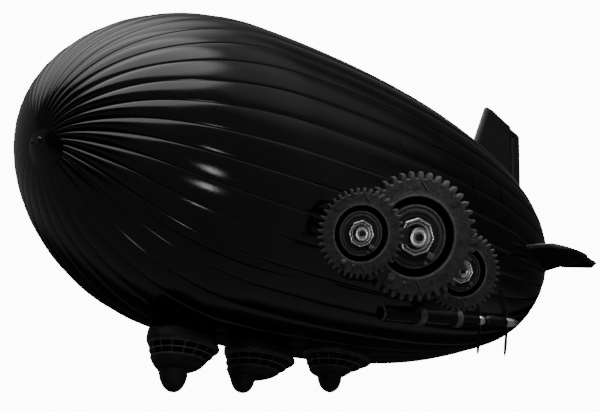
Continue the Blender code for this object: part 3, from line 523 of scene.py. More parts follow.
FINISHES["envelope"] = envelope_fabric()
print("nodes in the fabric:", len(FINISHES["envelope"].node_tree.nodes))

# %% [markdown]
# ## The envelope
#
# Gas presses each gore outwards between its two seams. Lengthways the hull is two superellipse
# quarters that meet at the widest station, and its axis bends up at the nose. A station is the
# distance behind the nose. The outline could be a curve object that is turned on a lathe, but
# the hull's ribs, its flat keel and its bent axis need a formula for every point anyway.

# %% Measures of the hull
HULL_LENGTH, NOSE_X, HULL_RADIUS, WIDEST = 35.09, 16.79, 8.27, 11.41
NOSE_POWERS, TAIL_POWERS = (2.03, 1.70), (2.07, 2.64)
NOSE_RISE, TAIL_DROP = 0.55, 0.19
GORES = 34
POLE_DROP, POLE_REACH = 1.30, 6.0                # the gores meet this far below the axis
BELLY_LIFT, BELLY_START, BELLY_FULL = 0.32, 9.0, 21.0
SIDES = (("port", 1.0), ("starboard", -1.0))


def hull_radius(station):
    """Superellipse: radius = R (1 - x^p)^(1/q), x from the widest station to either end."""
    nose = np.clip((WIDEST - station) / WIDEST, 0.0, 1.0)
    tail = np.clip((station - WIDEST) / (HULL_LENGTH - WIDEST), 0.0, 1.0)
    front = (1.0 - nose ** NOSE_POWERS[0]) ** (1.0 / NOSE_POWERS[1])
    back = (1.0 - tail ** TAIL_POWERS[0]) ** (1.0 / TAIL_POWERS[1])
    return HULL_RADIUS * np.where(station < WIDEST, front, back)


def nose_station(radius):
    """The same curve the other way round, ahead of the widest station."""
    share = np.clip(radius / HULL_RADIUS, 0.0, 1.0)
    return WIDEST * (1.0 - (1.0 - share ** NOSE_POWERS[1]) ** (1.0 / NOSE_POWERS[0]))


def axis_bend(station):
    """Height of the hull's axis: up ahead of the widest station, down behind it, as squares."""
    ahead = np.clip((WIDEST - station) / WIDEST, 0.0, 1.0)
    behind = np.clip((station - WIDEST) / (HULL_LENGTH - WIDEST), 0.0, 1.0)
    return NOSE_RISE * ahead ** 2 - TAIL_DROP * behind ** 2


print("hull radius at stations 5, 15 and 30:", hull_radius(np.array([5.0, 15.0, 30.0])).round(2))

# %% [markdown]
# Across, the skin lies below the crowns of the gores by a broad arch plus a narrow groove at each
# seam. Near the nose the cloth is gathered, so the arches get deeper. The gathers are deepest on
# the port flank and fade out towards the other side and the keel. A displacement picture could
# carve them as well, but a formula keeps them sharp at any size.

# %% Relief of the gores
ARCH, PLEAT, GROOVE = 0.0060, 0.105, 0.0060      # depths for each metre of hull radius
ARCH_POWER, GROOVE_POWER = 2.0, 14.0
PLEAT_REACH = 7.4                                # hull radius where the gathers have run out
# angle from the top towards port, in degrees, where a change begins, and how far it takes
GATHERS_BEGIN, GATHERS_DEEPEN, GATHERS_END = (-40.0, 50.0), (60.0, 35.0), (170.0, 45.0)
SHALLOW = 0.35                                   # share of the full depth before they deepen
CALM = 0.7                                       # share of the plain relief that goes without gathers


def smooth_step(value):
    """Rise from 0 to 1 without corners: 3 v^2 - 2 v^3."""
    value = np.clip(value, 0.0, 1.0)
    return value * value * (3.0 - 2.0 * value)


def seam_relief(station, radius, angle):
    """Depth of the skin below the crowns: |u|^2 arch plus |u|^14 groove, u = 0 on the crown."""
    share = (np.abs(angle) * GORES / (2.0 * np.pi)) % 1.0
    from_crown = np.abs(2.0 * share - 1.0)
    gather = smooth_step(1.0 - radius / PLEAT_REACH) * (station < WIDEST)
    degrees = np.degrees(angle)
    deep = smooth_step((degrees - GATHERS_DEEPEN[0]) / GATHERS_DEEPEN[1])
    share_of_depth = ((SHALLOW + (1.0 - SHALLOW) * deep)
                      * smooth_step((degrees - GATHERS_BEGIN[0]) / GATHERS_BEGIN[1])
                      * smooth_step((GATHERS_END[0] - degrees) / GATHERS_END[1]))
    plain = 1.0 - CALM * gather * (1.0 - share_of_depth)
    arch = ARCH * plain + PLEAT * gather * share_of_depth
    return radius * (arch * from_crown ** ARCH_POWER + GROOVE * plain * from_crown ** GROOVE_POWER)


print("relief at a seam amidships, in mm:", round(1000.0 * float(seam_relief(WIDEST, HULL_RADIUS, 0.0)), 1))

# %% [markdown]
# Every point of the hull comes from one function of a station, an angle round the hull and a
# distance off its skin. It starts on a round hull, pulls the meeting point of the gores down at
# the nose, steps along the normal by the relief, and flattens the keel with a soft minimum of
# two depths. Patches, wheels and gondolas can then use the same function to find the skin.

# %% Points of the hull
STATION_STEP = 0.01            # the slope of the outline is taken over this distance to either side


def hull_point(station, angle, offset=0.0, ribbed=True):
    """Points of the hull; angle is 0 on top and grows to port, offset is outwards."""
    station, angle = np.broadcast_arrays(np.asarray(station, float), np.asarray(angle, float))
    first = hull_radius(station)
    y, z = first * np.sin(angle), first * np.cos(angle)
    near = np.clip(1.0 - first / POLE_REACH, 0.0, 1.0) ** 2 * (station < WIDEST)
    z = z - POLE_DROP * near
    moved = np.hypot(y, z)
    station = np.where(near > 0.0, nose_station(moved), station)
    radius = np.where(near > 0.0, moved, first)
    after = np.minimum(station + STATION_STEP, HULL_LENGTH)
    before = np.maximum(station - STATION_STEP, 0.0)
    slope = (hull_radius(after) - hull_radius(before)) / (after - before)
    length = np.sqrt(1.0 + slope ** 2)
    out = offset - (seam_relief(station, first, angle) if ribbed else 0.0)
    safe = np.maximum(radius, 1e-9)
    x = NOSE_X - station + slope / length * out
    y = y + y / safe * out / length
    z = z + z / safe * out / length
    rise = smooth_step((station - BELLY_START) / (BELLY_FULL - BELLY_START))
    lift = BELLY_LIFT * rise * hull_radius(station) / HULL_RADIUS
    width = np.maximum(0.5 * lift, 1e-4)
    limit = radius - lift + out / length
    depth = -z
    flat = np.minimum(depth, limit) - width * np.log1p(np.exp(-np.abs(depth - limit) / width))
    depth = np.where(lift > 1e-3, flat, depth)
    return np.stack([x, y, axis_bend(station) - depth], axis=-1)


print("lowest point amidships:", hull_point(WIDEST, np.pi).round(3))

# %% [markdown]
# The skin's grid has more columns near the seams, where the groove turns sharply, and more rows
# towards both ends. An even grid would need several times as many faces for the same seams.

# %% Envelope skin
GORE_SHARES = np.array([0.0, 0.015, 0.035, 0.065, 0.11, 0.20, 0.35, 0.50, 0.65, 0.80, 0.89, 0.935,
                        0.965, 0.985])
HULL_ROWS = (60, 80)           # ahead of the widest station, and behind it
FIRST_RING, LAST_TURN = 0.25, 0.995


def envelope_skin():
    """The whole envelope: columns bunch up at the seams, rows at both ends."""
    half = (np.arange(GORES // 2)[:, None] + GORE_SHARES[None, :]).ravel()
    angle = np.concatenate([half, GORES - half[1:][::-1], [GORES / 2.0]]) * 2.0 * np.pi / GORES
    angle = np.sort(angle)
    signed = np.where(angle > np.pi, angle - 2.0 * np.pi, angle)
    first = math.acos(1.0 - float(nose_station(FIRST_RING)) / WIDEST)
    nose = WIDEST * (1.0 - np.cos(np.linspace(first, np.pi / 2, HULL_ROWS[0])))
    swing = np.sin(np.linspace(0.0, np.pi / 2 * LAST_TURN, HULL_ROWS[1]))
    tail = WIDEST + (HULL_LENGTH - WIDEST) * swing
    stations = np.concatenate([nose, tail[1:]])
    points = hull_point(stations[:, None], signed[None, :])
    rows, columns = points.shape[:2]
    solid, quads, triangles, _ = ring_solid(points)
    gore = np.broadcast_to(np.abs(signed) * GORES / (2.0 * np.pi), (rows, columns))
    along = np.broadcast_to(stations[:, None], (rows, columns))
    uv = np.stack([gore.ravel(), along.ravel()], axis=-1)
    uv = np.concatenate([uv, uv[:1], uv[-1:]])
    return add_piece("envelope_skin", solid, quads, triangles, "hull", FINISHES["envelope"],
                     uv=uv, smooth=60.0)


skin = envelope_skin()
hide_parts("envelope")
print("envelope faces:", len(skin.data.polygons))

# %% [markdown]
# Patches, slits and the long crease are ribbons that lie on the envelope. Each follows a line
# from one gore and station to another, is widest in the middle, and stands a few millimetres
# proud of the cloth, so its underside is out of sight. All are near black; on the slits and the
# crease that black is painted shade, for the shadow inside an opening and a fold. They could be
# painted on, but then they would be missing from the shape.

# %% Ribbons on the envelope
# columns: gore and station where it starts, gore and station where it ends, half width across
# the gores in gores, half width along the hull in metres, height
RIBBONS = {
    "fore_slit": (7.42, 23.68, 8.16, 23.96, 0.0, 0.190, 0.012),
    "fore_dot": (8.32, 23.90, 8.42, 23.94, 0.0, 0.170, 0.014),
    "aft_slit": (7.03, 26.52, 7.95, 26.70, 0.0, 0.190, 0.012),
    "aft_dot": (8.10, 26.75, 8.20, 26.79, 0.0, 0.170, 0.014),
    "flank_dot": (9.22, 24.13, 9.32, 24.17, 0.0, 0.110, 0.014),
    "root_dot": (10.12, 27.10, 10.24, 27.14, 0.0, 0.120, 0.014),
    "shoulder_dot": (7.55, 17.60, 7.63, 17.64, 0.0, 0.110, 0.014),
    "root_slit": (9.10, 27.60, 9.40, 29.90, 0.060, 0.0, 0.014),
    "root_branch": (9.58, 28.30, 9.46, 29.90, 0.050, 0.0, 0.014),
    "root_patch": (9.97, 27.95, 9.78, 29.90, 0.100, 0.0, 0.014),
    "root_line": (10.84, 27.20, 10.35, 31.00, 0.035, 0.0, 0.014),
    "long_crease": (13.50, 4.00, 13.24, 12.60, 0.032, 0.0, 0.010),
    "back_dot": (7.46, 20.94, 7.54, 20.98, 0.0, 0.110, 0.014),
}


EDGE_SUNK, UNDERSIDE = 0.004, -0.030     # its edge lies this far under the cloth, and its underside
END_WIDTH = 0.08                         # width of a ribbon's ends, as a share of its middle


def ribbon(name, start, end, half_gore, half_along, height, sign, rows=28, across=8):
    """Lens section across a line from start to end; width follows the root of a half sine."""
    t = np.linspace(0.0, 1.0, rows)[:, None]
    w = np.concatenate([np.linspace(-1.0, 1.0, across), np.linspace(1.0, -1.0, across)[1:-1]])[None, :]
    out = np.where(np.arange(w.shape[1]) < across, height * (1.0 - w ** 2) - EDGE_SUNK, UNDERSIDE)
    size = END_WIDTH + (1.0 - END_WIDTH) * np.sqrt(np.sin(np.pi * (0.02 + 0.96 * t)))
    gore = start[0] + (end[0] - start[0]) * t + half_gore * w * size
    station = start[1] + (end[1] - start[1]) * t + half_along * w * size
    points = hull_point(station, sign * gore * 2.0 * np.pi / GORES, out + 0.0 * t)
    # black: painted shade on the slits and the crease, dark marks on the dots
    return add_solid(name, points, "hull", FINISHES["slit"], smooth=60.0)


for side, sign in SIDES:
    for label, (gore, station, gore_end, station_end, wide, deep, height) in RIBBONS.items():
        ribbon(f"{side}_{label}", (gore, station), (gore_end, station_end), wide, deep, height, sign)
print("ribbons:", 2 * len(RIBBONS))

# %% [markdown]
# The nose cap is a low dome that flows out into the gathered cloth, with two small glossy bosses
# for the mooring gear. Its profile is turned about the cap's own axis, which droops. The model's
# record names the face on the cap where a mast takes hold, so place and axis are read from there.

# %% Nose cap
mooring = next(mount for mount in frame["record"]["mounts"] if mount["name"] == "mooring_face")
CAP_AXIS = Vector(mooring["axis"]).normalized()
CAP_RISE = 0.2425                        # from the plane that the profile counts from to that face
CAP_PLACE = Vector(mooring["pos_m"]) - CAP_RISE * CAP_AXIS
# columns: radius, height
CAP_PROFILE = ((1.40, -0.15), (1.28, -0.09), (1.12, -0.02), (0.92, 0.07), (0.66, 0.16), (0.36, 0.225),
               (0.05, 0.245))
# columns: sideways, up, radius, height
CAP_BOSSES = {"middle_boss": (0.0, 0.0, 0.20, 0.12), "side_boss": (-0.62, 0.06, 0.13, 0.08)}
BOSS_SUNK = 0.02

cap_frame = CAP_AXIS.to_track_quat("Z", "Y").to_matrix().to_4x4()
cap_frame.translation = CAP_PLACE
cap = add_solid("nose_cap_dome", placed(lathe(smooth_curve(CAP_PROFILE, 28), 72), cap_frame), "hull",
                FINISHES["cap"])
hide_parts("nose_cap")
bend = np.linspace(0.0, 1.5, 10)
cap_radii, cap_heights = np.array(CAP_PROFILE)[::-1].T
for label, (sideways, up, reach, tall) in CAP_BOSSES.items():
    dome = lathe(np.stack([reach * np.cos(bend), tall * np.sin(bend)], axis=-1), 32)
    foot = float(np.interp(math.hypot(sideways, up), cap_radii, cap_heights))
    boss_frame = cap_frame.copy()
    boss_frame.translation = CAP_PLACE + CAP_AXIS * (foot - BOSS_SUNK) + Vector((0.0, sideways, up))
    add_solid(f"nose_{label}", placed(dome, boss_frame), "hull", FINISHES["cap"])
print("nose cap at", tuple(round(c, 3) for c in CAP_PLACE))

# %% [markdown]
# ## Toothed wheels
#
# Three wheels stand beside each other on every flank, on parallel axles that point away from
# the hull. One frame of axes for each side and an offset for each wheel put all six in place.
# Parenting them to empties would look the same, but the points of a piece have to be in place
# themselves.

# %% Places of the wheels
GEAR_CENTRE = (-0.22, 9.50, -4.16)
GEAR_YAW, GEAR_PITCH = 66.0, -22.0
STARBOARD_RISE = 40.0                    # the starboard machinery sits this much higher round the hull
# columns: offset aft, offset up, middle plane, thickness, tip radius, axle radius
WHEELS = {
    "front": (-3.15, -0.14, 0.60, 0.30, 2.30, 0.22),
    "main": (0.00, 0.00, 0.00, 0.50, 3.30, 0.32),
    "rear": (2.92, -1.50, -0.45, 0.28, 2.10, 0.22),
}


def side_turn(sign):
    """Turn about the hull's axis that sets the starboard machinery higher than the port one."""
    return Matrix.Rotation(math.radians(-STARBOARD_RISE if sign < 0.0 else 0.0), 4, "X")


def gear_frame(sign):
    """Axes of a gear train: X aft, Y up, Z along the axles and away from the hull."""
    yaw, pitch = math.radians(GEAR_YAW), math.radians(GEAR_PITCH)
    axle = Vector((math.cos(pitch) * math.cos(yaw), math.cos(pitch) * math.sin(yaw), math.sin(pitch)))
    aft = Vector((-math.sin(yaw), math.cos(yaw), 0.0))
    up = axle.cross(aft)
    axle.y, aft.y, up.y = sign * axle.y, sign * aft.y, sign * up.y
    if sign < 0.0:
        aft = -aft
    turned = Matrix((aft, up, axle)).transposed().to_4x4()
    turned.translation = Vector((GEAR_CENTRE[0], sign * GEAR_CENTRE[1], GEAR_CENTRE[2]))
    return side_turn(sign) @ turned


def wheel_frame(place, sign, height=0.0):
    """Frame of one wheel, at a height along its axle."""
    offset = Matrix.Translation((WHEELS[place][0] * sign, WHEELS[place][1], height))
    return gear_frame(sign) @ offset


print("port axles point to", tuple(round(c, 3) for c in gear_frame(1.0).col[2][:3]))

# %% [markdown]
# A wheel is a stack of rings. The outermost ones follow the teeth: their radius is the root
# circle plus a rounded bump once per tooth. Further in the rings are plain circles that step
# down into a deep channel, up onto the hub disc and in to the bore. Cutting the teeth with
# booleans would leave long thin faces, while rings stay even. Layers mark what is worn and
# where painted shade darkens the channel, the hollows and the bore.

# %% Profile of a wheel
TEETH = 40
POINTS_PER_TOOTH = 10
ROOT_SHARE = 0.895                       # root circle as a share of the tip radius
TOOTH_HALF = 0.275                       # half a tooth's width at its root, as a share of the pitch
TOOTH_RINGS = 7                          # rings that follow the teeth
# columns: share of the tip radius, height share of the thickness from the middle plane, edge, painted shade
WHEEL_PROFILE = (
    (0.860, 0.500, 0.0, 0.00), (0.800, 0.495, 0.0, 0.00), (0.740, 0.500, 0.0, 0.00),
    (0.668, 0.500, 0.1, 0.00), (0.650, 0.520, 0.8, 0.00), (0.632, 0.520, 1.0, 0.00),
    (0.620, 0.470, 0.7, 0.10), (0.614, 0.200, 0.0, 1.00), (0.612, -0.380, 0.0, 1.00),
    (0.500, -0.380, 0.0, 1.00), (0.498, 0.140, 0.0, 1.00), (0.494, 0.230, 0.7, 0.30),
    (0.484, 0.250, 0.9, 0.10), (0.455, 0.245, 0.1, 0.25), (0.440, 0.190, 0.0, 0.80),
    (0.425, 0.240, 0.7, 0.30), (0.385, 0.245, 0.1, 0.30), (0.365, 0.200, 0.0, 0.90),
    (0.335, 0.210, 0.2, 0.60), (0.300, 0.215, 0.0, 0.90),
)

# columns: share of the tip radius, height share; the black lining of the channel, painted shade
CHANNEL = ((0.6115, 0.280), (0.6105, -0.360), (0.5020, -0.360), (0.5010, 0.060), (0.5060, 0.060),
           (0.5100, -0.330), (0.6030, -0.330), (0.6080, 0.280))


def wheel_surface(tip, thick, bore):
    """Rings from the back of the bore, out over the teeth and in across the front.

    A tooth stands (1 - |u|^2.4)^0.6 of its full depth above the root circle, with u from -1 to 1
    across it.
    """
    count = TEETH * POINTS_PER_TOOTH
    turn = np.arange(count) * 2.0 * np.pi / count
    share = (turn * TEETH / (2.0 * np.pi)) % 1.0
    bump = np.clip(1.0 - np.abs((share - TOOTH_HALF) / TOOTH_HALF) ** 2.4, 0.0, 1.0) ** 0.6
    teeth = tip * (ROOT_SHARE + (1.0 - ROOT_SHARE) * bump)
    half = thick / 2.0
    rings = [(np.full(count, bore), -half, 0.0, 0.6), (teeth - 0.05, -half, 0.0, 0.5),
             (teeth, -half + 0.04, 0.1, 0.3), (teeth, half - 0.05, 0.4, 0.0),
             (teeth - 0.020, half - 0.012, 0.9, 0.0), (teeth - 0.055, half, 0.5, 0.0),
             (np.minimum(teeth - 0.06, 0.885 * tip), half, 0.0, 0.0)]
    rings += [(np.full(count, radius * tip), rise * thick, edge, painted_shade)
              for radius, rise, edge, painted_shade in WHEEL_PROFILE]
    rings += [(np.full(count, bore), 0.20 * thick, 0.0, 0.9)]
    points = np.stack([np.stack([radius * np.cos(turn), radius * np.sin(turn), np.full(count, height)],
                                axis=-1) for radius, height, _, _ in rings])
    edge = np.stack([np.full(count, worn_and_highlight) * (0.35 + 0.65 * bump if number < TOOTH_RINGS else 1.0)
                     for number, (_, _, worn_and_highlight, _) in enumerate(rings)])
    painted_shade = np.stack([np.full(count, shaded) for _, _, _, shaded in rings])
    return points, edge, painted_shade


print("rings of a wheel:", TOOTH_RINGS + len(WHEEL_PROFILE) + 1)

# %% [markdown]
# All six wheels come from the same profile, each at its own size. The channel gets a lining in
# dead black, as painted shade in the deep recess.

# %% Wheels
BORE_PLAY = 0.002

for side, sign in SIDES:
    for place, (_, _, middle, thick, tip, axle) in WHEELS.items():
        points, edge, painted_shade = wheel_surface(tip, thick, axle + BORE_PLAY)
        name = f"{side}_{place}_gear"
        wheel = add_loop(name + "_casting", placed(points, wheel_frame(place, sign, middle)), name,
                         FINISHES["cast"], {"edge": edge, "painted_shade": painted_shade}, smooth=35.0)
        wheel.visible_glossy = False         # its dark back would hide the sheen of the hull behind it
        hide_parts(name)
        # black lining: painted shade in the channel
        channel = lathe([(radius * tip, rise * thick) for radius, rise in CHANNEL], 120)
        add_loop(f"{side}_{place}_channel", placed(channel, wheel_frame(place, sign, middle)), name,
                 FINISHES["slit"])
print("wheels made:", 2 * len(WHEELS))

# %% [markdown]
# Each wheel's face carries a few cast marks: a square block and a smaller one on the hub disc, a
# round boss and a dot on the rim, and thin raised lines. Each could be modelled on its own. The
# same table serves every wheel instead, since all of its numbers are shares of the tip radius.

# %% Marks on the wheels
# columns: place across and up, size across, up and out, turn in degrees, power, level it stands on
WHEEL_BLOCKS = {
    "block": (0.272, -0.276, 0.125, 0.115, 0.100, -24.0, 5.0, "disc"),
    "small_block": (0.205, -0.392, 0.066, 0.066, 0.070, -24.0, 5.0, "disc"),
    "boss": (-0.332, -0.655, 0.130, 0.130, 0.075, 0.0, 2.6, "rim"),
    "dot": (-0.100, -0.715, 0.064, 0.056, 0.050, 0.0, 2.4, "rim"),
    "lower_line": (0.170, -0.770, 0.300, 0.018, 0.020, -58.0, 3.0, "rim"),
    "upper_line": (0.020, 0.800, 0.230, 0.016, 0.018, -50.0, 3.0, "rim"),
}

LEVELS = {"disc": 0.245, "rim": 0.50}     # height above the wheel's middle, as a share of its thickness
# highest that a mark may reach along the axle, so that it passes under the arm or the next wheel
MARK_LIMIT = {"front": 1.20, "main": 0.31, "rear": -0.26}


def wheel_marks(side, sign, place):
    """Rounded blocks set on a wheel's face, mirrored with the wheel."""
    _, _, middle, thick, tip, _ = WHEELS[place]
    for label, (across, up, wide, high, out, turn, power, level) in WHEEL_BLOCKS.items():
        foot = middle + thick * LEVELS[level]
        tall = min(out * tip, MARK_LIMIT[place] - foot)
        shape = superblock((wide * tip, high * tip, 2.0 * tall), power)
        spot = Matrix.Translation((sign * across * tip, up * tip, 0.0)) @ Matrix.Rotation(
            math.radians(sign * turn), 4, "Z")
        add_solid(f"{side}_{place}_{label}", placed(shape, wheel_frame(place, sign, foot) @ spot),
                  f"{side}_{place}_gear", FINISHES["cast"], {"edge": np.full(shape.shape[:2], 0.75)})


for side, sign in SIDES:
    for place in WHEELS:
        wheel_marks(side, sign, place)
print("marks on each wheel:", len(WHEEL_BLOCKS))

# %% [markdown]
# ## Ring nuts and bushes
#
# A nut's outline is a circle pulled in to flat sides: at each angle its radius is the flat's
# distance divided by the cosine of the angle to that flat. A cylinder with eight sides would do
# for the outline, but its face needs round grooves as well. The chamfer catches the light, the
# groove inside is darkened with painted shade, and a polished bush with a bore sits in the middle.

# %% Shape of a nut
CORNER_CUT = 0.985             # the corners are rounded off at this share of the radius


def nut_surface(radius, low, high, inner, count=160, flats=8):
    """Rings of an eight-sided nut with a bright chamfer and a stepped hollow face."""
    turn = np.linspace(0.0, 2.0 * np.pi, count, endpoint=False)
    step = 2.0 * np.pi / flats
    local = (turn % step) - step / 2.0
    polygon = np.minimum(np.cos(step / 2.0) / np.cos(local), CORNER_CUT)
    tall = high - low
    # columns: share of the radius, height, edge, painted shade, share of the polygon shape
    table = ((inner / radius, low, 0.0, 1.0, 0.0), (0.90, low, 0.0, 0.9, 1.0),
             (1.00, low + 0.05 * tall, 0.0, 0.5, 1.0), (1.00, high - 0.25 * tall, 0.3, 0.0, 1.0),
             (0.975, high - 0.08 * tall, 1.0, 0.0, 1.0), (0.93, high, 1.0, 0.0, 1.0),
             (0.88, high, 0.8, 0.0, 1.0), (0.85, high - 0.12 * tall, 0.0, 0.9, 0.9),
             (0.80, high - 0.22 * tall, 0.0, 1.0, 0.5), (0.72, high - 0.18 * tall, 0.0, 0.75, 0.0),
             (0.68, high - 0.16 * tall, 0.1, 0.55, 0.0), (0.62, high - 0.30 * tall, 0.0, 1.0, 0.0),
             (inner / radius, high - 0.30 * tall, 0.0, 1.0, 0.0))
    rings, edge, painted_shade = [], [], []
    for share, height, worn_and_highlight, shaded, flat in table:
        reach = radius * share * (1.0 + flat * (polygon - 1.0))
        rings.append(np.stack([reach * np.cos(turn), reach * np.sin(turn), np.full(count, height)], axis=-1))
        edge.append(np.full(count, worn_and_highlight))
        painted_shade.append(np.full(count, shaded))
    return np.stack(rings), np.stack(edge), np.stack(painted_shade)


def bush_surface(radius, bore, low, high):
    """A polished ring: half a rounded bead outside, a bore inside darkened with painted shade."""
    tall = high - low
    profile = ((bore, low), (radius, low), (radius, high - 0.35 * tall), (0.96 * radius, high - 0.10 * tall),
               (0.84 * radius, high), (0.62 * radius, high - 0.02 * tall), (1.25 * bore, high - 0.10 * tall),
               (bore, high - 0.30 * tall))
    # painted shade, darkest in the bore
    painted_shade = np.array([1.0, 0.2, 0.0, 0.0, 0.0, 0.0, 0.15, 1.0])
    return lathe(profile), painted_shade


print("a nut's corners reach", CORNER_CUT, "of its radius, its flats", round(math.cos(math.pi / 8), 3))

# %% [markdown]
# The nuts hold the wheels on their fixed axles, so they belong to the hull and stand still while
# a wheel turns. On the main axle an arm lies between the nut and its bush.

# %% Nuts and bushes
NUT_SHARE, NUT_FOOT = 0.30, 0.24         # radius for the tip radius, foot for the wheel's thickness
MAIN_NUT_TOP = 0.30                      # just behind the arm
ARM_TOP = 0.521                          # outer face of the arm's boss
MAIN_BUSH, BUSH_SHARE, BUSH_TALL = 0.50, 0.165, 0.14
BUSH_BORE = 0.36                         # bore of a bush as a share of its radius

for side, sign in SIDES:
    for place, (_, _, middle, thick, tip, axle) in WHEELS.items():
        disc = middle + NUT_FOOT * thick
        top = MAIN_NUT_TOP if place == "main" else middle + thick / 2 + 0.02
        points, edge, painted_shade = nut_surface(NUT_SHARE * tip, disc, top, axle + BORE_PLAY)
        name = f"{side}_{place}_nut"
        nut = add_loop(name + "_face", placed(points, wheel_frame(place, sign)), "hull",
                       FINISHES["steel"], {"edge": edge, "painted_shade": painted_shade}, smooth=50.0)
        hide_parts(name)
        reach = MAIN_BUSH if place == "main" else BUSH_SHARE * tip
        foot = ARM_TOP if place == "main" else top - 0.01
        points, bore_shade = bush_surface(reach, BUSH_BORE * reach, foot, foot + BUSH_TALL)
        add_loop(f"{side}_{place}_bush", placed(points, wheel_frame(place, sign)), "hull",
                 FINISHES["steel"], {"painted_shade": bore_shade[:, None]})
print("nuts and bushes:", 4 * len(WHEELS))

# %% [markdown]
# ## Gondolas
#
# Each gondola is a stack of ellipses whose length, width and shift change with height: a
# neck against the hull, painted nearly black as shade, a grey skirt round it with a wavy upper
# edge, a cabin with two rows of windows that leans forward towards its foot, a bowl, and the lobe
# that hangs from it. Scaled copies of a cylinder would give the same outline, but a table shows
# at a glance how the three gondolas differ.

# %% Gondola tables
# columns: middle of the cabin's foot, how far the cabin's top lies further aft, half length and
# half width of the foot, depths of bowl and lobe, lobe's shift forward, its half length and width
GONDOLAS = {
    "front": (7.20, 0.33, 1.56, 1.15, 0.57, 1.15, 0.32, 0.74, 0.67),
    "middle": (2.03, 0.51, 1.46, 1.10, 0.41, 0.86, 0.69, 0.64, 0.58),
    "rear": (-3.60, 0.55, 1.12, 1.00, 0.26, 0.91, 0.02, 0.64, 0.58),
}
CABIN_DEPTH = 0.74
CABIN_TOP = (2.08, 1.30)
NECK_PLAN, NECK_FLARE = (1.92, 1.22), 0.06


def cabin_top(place):
    """Height of the upper end of a cabin, read from its solid."""
    return float(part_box(f"{place}_gondola_cabin")[1][2])


print("cabins hang from", {place: round(cabin_top(place), 2) for place in GONDOLAS})

# %% [markdown]
# The neck's top has to follow the ribs of the hull. A boolean with the hull would trim it, but it
# would also leave ragged faces. So the height of the hull over each point is found by stepping
# towards its surface until both agree.

# %% Collars
SEARCH_STEPS = 40
COLLAR_SIDES = 144
NECK_FOOT = 0.2                # the neck starts this far above the cabin, hidden by the skirt
NECK_SUNK = 0.05               # and ends this far inside the hull
# columns: share of the skirt's rise, how far out from the cabin's top
SKIRT_BULGE = ((0.0, 0.0), (0.08, 0.05), (0.30, 0.09), (0.65, 0.07), (0.92, 0.03), (1.0, 0.0))
SKIRT_RINGS = 14
# columns: how far in from the cabin's outline, and below the skirt's edge
SKIRT_LIP = ((0.05, 0.01), (0.20, 0.05))


def hull_underside(x, y):
    """Lowest height of the hull over (x, y): repeat station and angle until they meet it."""
    station, angle = NOSE_X - x, np.pi - np.arcsin(np.clip(y / HULL_RADIUS, -0.9, 0.9))
    for _ in range(SEARCH_STEPS):
        found = hull_point(station, angle)
        station = station + (found[..., 0] - x)
        angle = angle + (found[..., 1] - y) / np.maximum(hull_radius(station), 1.0)
    return found[..., 2]


def cabin_plan(place, share):
    """Centre, half length and half width of a cabin at a share of its depth; all run straight."""
    x, rake, length, width = GONDOLAS[place][:4]
    return (x - rake * (1.0 - share), CABIN_TOP[0] + (length - CABIN_TOP[0]) * share,
            CABIN_TOP[1] + (width - CABIN_TOP[1]) * share)


def collar(place):
    """Neck up into the hull, and the skirt: its edge is a cosine of the angle plus ripples."""
    centre, length, width = cabin_plan(place, 0.0)
    top = cabin_top(place)
    turn = np.linspace(0.0, 2.0 * np.pi, COLLAR_SIDES, endpoint=False)
    rise = 0.42 + 0.19 * np.cos(turn) + 0.13 * np.abs(np.cos(3.0 * turn + 0.5))
    rings = [np.stack([centre + (length + out) * np.cos(turn), (width + out) * np.sin(turn),
                       top + share * rise], axis=-1) for share, out in smooth_curve(SKIRT_BULGE, SKIRT_RINGS)]
    for inward, lower in SKIRT_LIP:
        rings.append(np.stack([centre + (length - inward) * np.cos(turn), (width - inward) * np.sin(turn),
                               top + rise - lower], axis=-1))
    edge = np.zeros((len(rings), COLLAR_SIDES))
    edge[SKIRT_RINGS - 2:SKIRT_RINGS + 1] = 0.45
    edge[:2] = 0.6
    skirt = add_solid(f"{place}_collar_skirt", np.stack(rings), "hull", FINISHES["cabin"],
                      {"edge": edge})
    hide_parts(f"{place}_gondola_collar")
    shares = np.linspace(0.0, 1.0, 14)[:, None]
    out = NECK_FLARE * shares ** 2
    points = np.stack([centre + (NECK_PLAN[0] + out) * np.cos(turn), (NECK_PLAN[1] + out) * np.sin(turn),
                       top + NECK_FOOT + 0.0 * (shares + turn)], axis=-1)
    reach = hull_underside(points[-1, :, 0], points[-1, :, 1]) + NECK_SUNK
    points[..., 2] += shares * np.maximum(reach - top - NECK_FOOT, 0.02)
    # nearly black: painted shade where the neck runs up into the hull
    add_solid(f"{place}_collar_neck", points, "hull", FINISHES["neck"])


for place in GONDOLAS:
    collar(place)
print("collars:", len(GONDOLAS))

# %% [markdown]
# The cabin wall is a thin ring with the windows left out of its grid, and a Solidify modifier
# gives it its thickness. Boolean cutters would open the windows as well, but a grid has its edges
# where the windows need them from the start.

# %% Cabins with cut windows
PANES = 16
WINDOW_ROWS = ((0.10, 0.46), (0.54, 0.90))       # shares of the cabin's depth
WALL = 0.05


